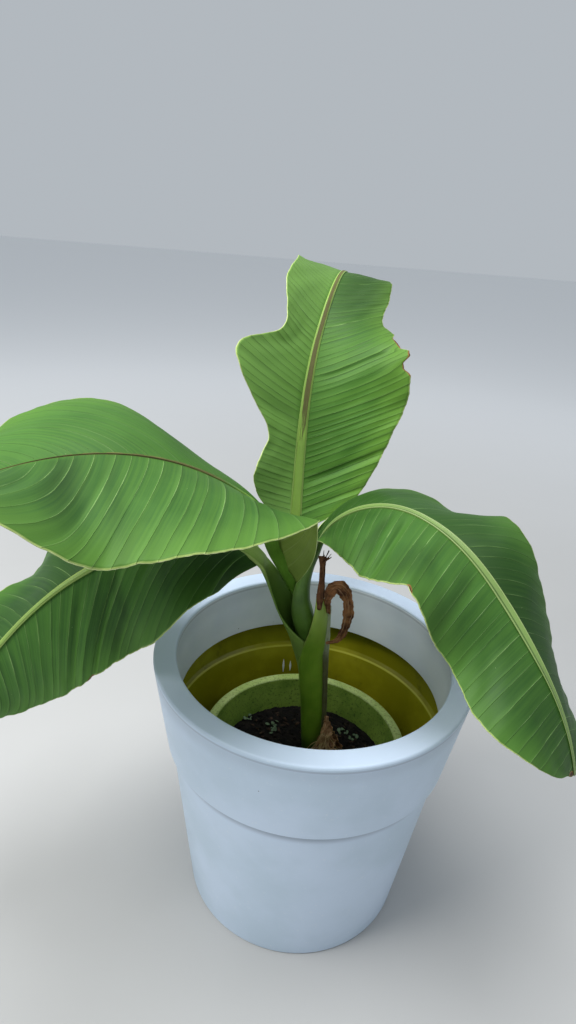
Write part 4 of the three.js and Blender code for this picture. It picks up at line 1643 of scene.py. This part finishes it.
def make_husk():
    """The broken husk at the stem's foot: a few shreds and many loose fibres."""
    shape = new_shape()
    for place, leaf in enumerate(HUSK_LEAVES):
        shred = {**leaf, "half_depth": [0.9, 0.8, 0.7]}
        add_tube(shape, shred, columns=40, rows=60, crumple=1.1, seed=90 + 5 * place, cup=0.2)
    add_dry_piece("husk", shape, "dry leaf", "base_husk")

    rng = np.random.default_rng(97)
    shape = new_shape()
    for _ in range(HUSK_FIBRES):
        top = Vector((rng.uniform(25, 38), rng.uniform(2, 14), rng.uniform(226, 264)))
        foot = Vector((rng.uniform(-4, 66), rng.uniform(-8, 16), rng.uniform(207, 226)))
        if foot.x < 24:
            foot.y = rng.uniform(-4, 10)
        bend = Vector((rng.uniform(-6, 6), rng.uniform(-8, 0), rng.uniform(-2, 9)))
        thread = {
            "route": [tuple(top), tuple((top + foot) / 2 + bend), tuple(foot)],
            "half_width": [0.35, 0.65, 0.4],
            "half_depth": [0.3, 0.45, 0.3],
            "way": [(1, 0, 0), (1, 0.3, 0), (1, 0, 0)],
        }
        add_tube(shape, thread, columns=6, rows=14)
    add_dry_piece("husk_fibres", shape, "dry leaf")


def make_dead_parts():
    make_dead_stub()
    make_dead_curl()
    make_dry_strip()
    make_husk()


def make_funnel(name, finishes):
    """The part of a blade that runs down its stalk, so that the leaf's base is a funnel."""
    half, last_share, last_part, foot = FUNNELS[name]
    leaf = LEAVES[name]
    shape = new_shape()
    made, across, row = flat_grid(shape, 30, 40)
    rise = (across + 1) / 2
    share = last_share * row
    ones = np.ones_like(row)
    blade_edge, _ = blade_surface(leaf, share, half * ones, ones)
    part = 2 - (2 - last_part) * row
    ring = np.unique(part)
    middle = gutter_line(leaf, GUTTERS[name], ring)
    stalk_edge = middle[np.searchsorted(ring, part)] + (np.array(foot) - middle[0]) * row[:, None] ** 4
    bulge = np.sin(math.pi * rise) * row
    points = stalk_edge + (blade_edge - stalk_edge) * rise[:, None]
    points = points + np.stack([reach * bulge for reach in FUNNEL_BULGE[name]], -1)
    lift = 0.5 * np.cos(2 * math.pi * row * 5) * rise
    points[:, 1] += lift
    uv = np.stack([row * 5, half * rise], -1)
    shape_grid(shape, made, points, uv)
    bmesh.ops.remove_doubles(shape, verts=shape.verts, dist=MERGE_DISTANCE)
    bmesh.ops.recalc_face_normals(shape, faces=shape.faces)
    if sum(face.normal.z for face in shape.faces) < 0:
        bmesh.ops.reverse_faces(shape, faces=shape.faces)
    piece = add_piece(f"{name}_funnel", shape, finishes, "green leaf")
    thicken(piece, BLADE_THICKNESS, under=1, rim=2)


def make_camera():
    """The photograph's view, as a camera that looks down with a slight roll."""
    down = math.radians(CAMERA_DOWN)
    tilt = math.radians(CAMERA_ROLL)
    forward = Vector((0, math.cos(down), -math.sin(down)))
    level = Vector((1, 0, 0))
    raised = Vector((0, math.sin(down), math.cos(down)))
    right = level * math.cos(tilt) + raised * math.sin(tilt)
    up = raised * math.cos(tilt) - level * math.sin(tilt)
    camera = bpy.data.objects.new("camera", bpy.data.cameras.new("camera"))
    bpy.context.scene.collection.objects.link(camera)
    camera.data.sensor_width = SENSOR_WIDTH
    camera.data.lens = CAMERA_LENS
    turned = Matrix((right, up, -forward)).transposed().to_4x4()
    camera.matrix_world = Matrix.Translation(Vector(CAMERA_PLACE) * MM) @ turned
    bpy.context.scene.camera = camera


def floor_finish():
    """A plain floor that is paler far away, where the lamps don't reach."""
    finish = Finish("studio_floor", roughness=0.85, specular=0.2)
    place = finish.place()
    finish.tone = finish.blend(finish.noise(place, 3, 3), *FLOOR_GREYS)
    far = finish.node("ShaderNodeVectorMath", {0: place}, operation="LENGTH").outputs["Value"]
    finish.over(finish.ramp(far, *FLOOR_PALER), FLOOR_FAR)
    return finish.finished()


def make_floor():
    shape = bmesh.new()
    bmesh.ops.create_grid(shape, x_segments=2, y_segments=2, size=FLOOR_REACH)
    mesh = bpy.data.meshes.new("studio_floor")
    shape.to_mesh(mesh)
    shape.free()
    mesh.materials.append(floor_finish())
    floor = bpy.data.objects.new("studio_floor", mesh)
    bpy.context.scene.collection.objects.link(floor)


def make_light(name, place, target, size, watts, colour):
    """A round soft lamp that points at a target."""
    light = bpy.data.lights.new(name, "AREA")
    light.shape = "DISK"
    light.size = size
    light.energy = watts
    light.color = colour
    lamp = bpy.data.objects.new(name, light)
    bpy.context.scene.collection.objects.link(lamp)
    lamp.location = place
    lamp.rotation_mode = "QUATERNION"
    lamp.rotation_quaternion = (Vector(target) - Vector(place)).to_track_quat("-Z", "Y")


def make_lights():
    world = bpy.data.worlds.new("studio")
    world.use_nodes = True
    sky = world.node_tree.nodes["Background"]
    sky.inputs["Color"].default_value = SKY_COLOUR
    sky.inputs["Strength"].default_value = SKY_STRENGTH
    bpy.context.scene.world = world
    bpy.context.scene.view_settings.view_transform = "Standard"
    for name, lamp in LAMPS.items():
        make_light(name, *lamp)


make_camera()
make_floor()
make_lights()
make_planter()
make_light_slits()
make_pot()
make_soil()
make_crumbs()
make_chips()
make_plantlets()
make_stem()
make_stalks()
make_dead_parts()
make_blades()
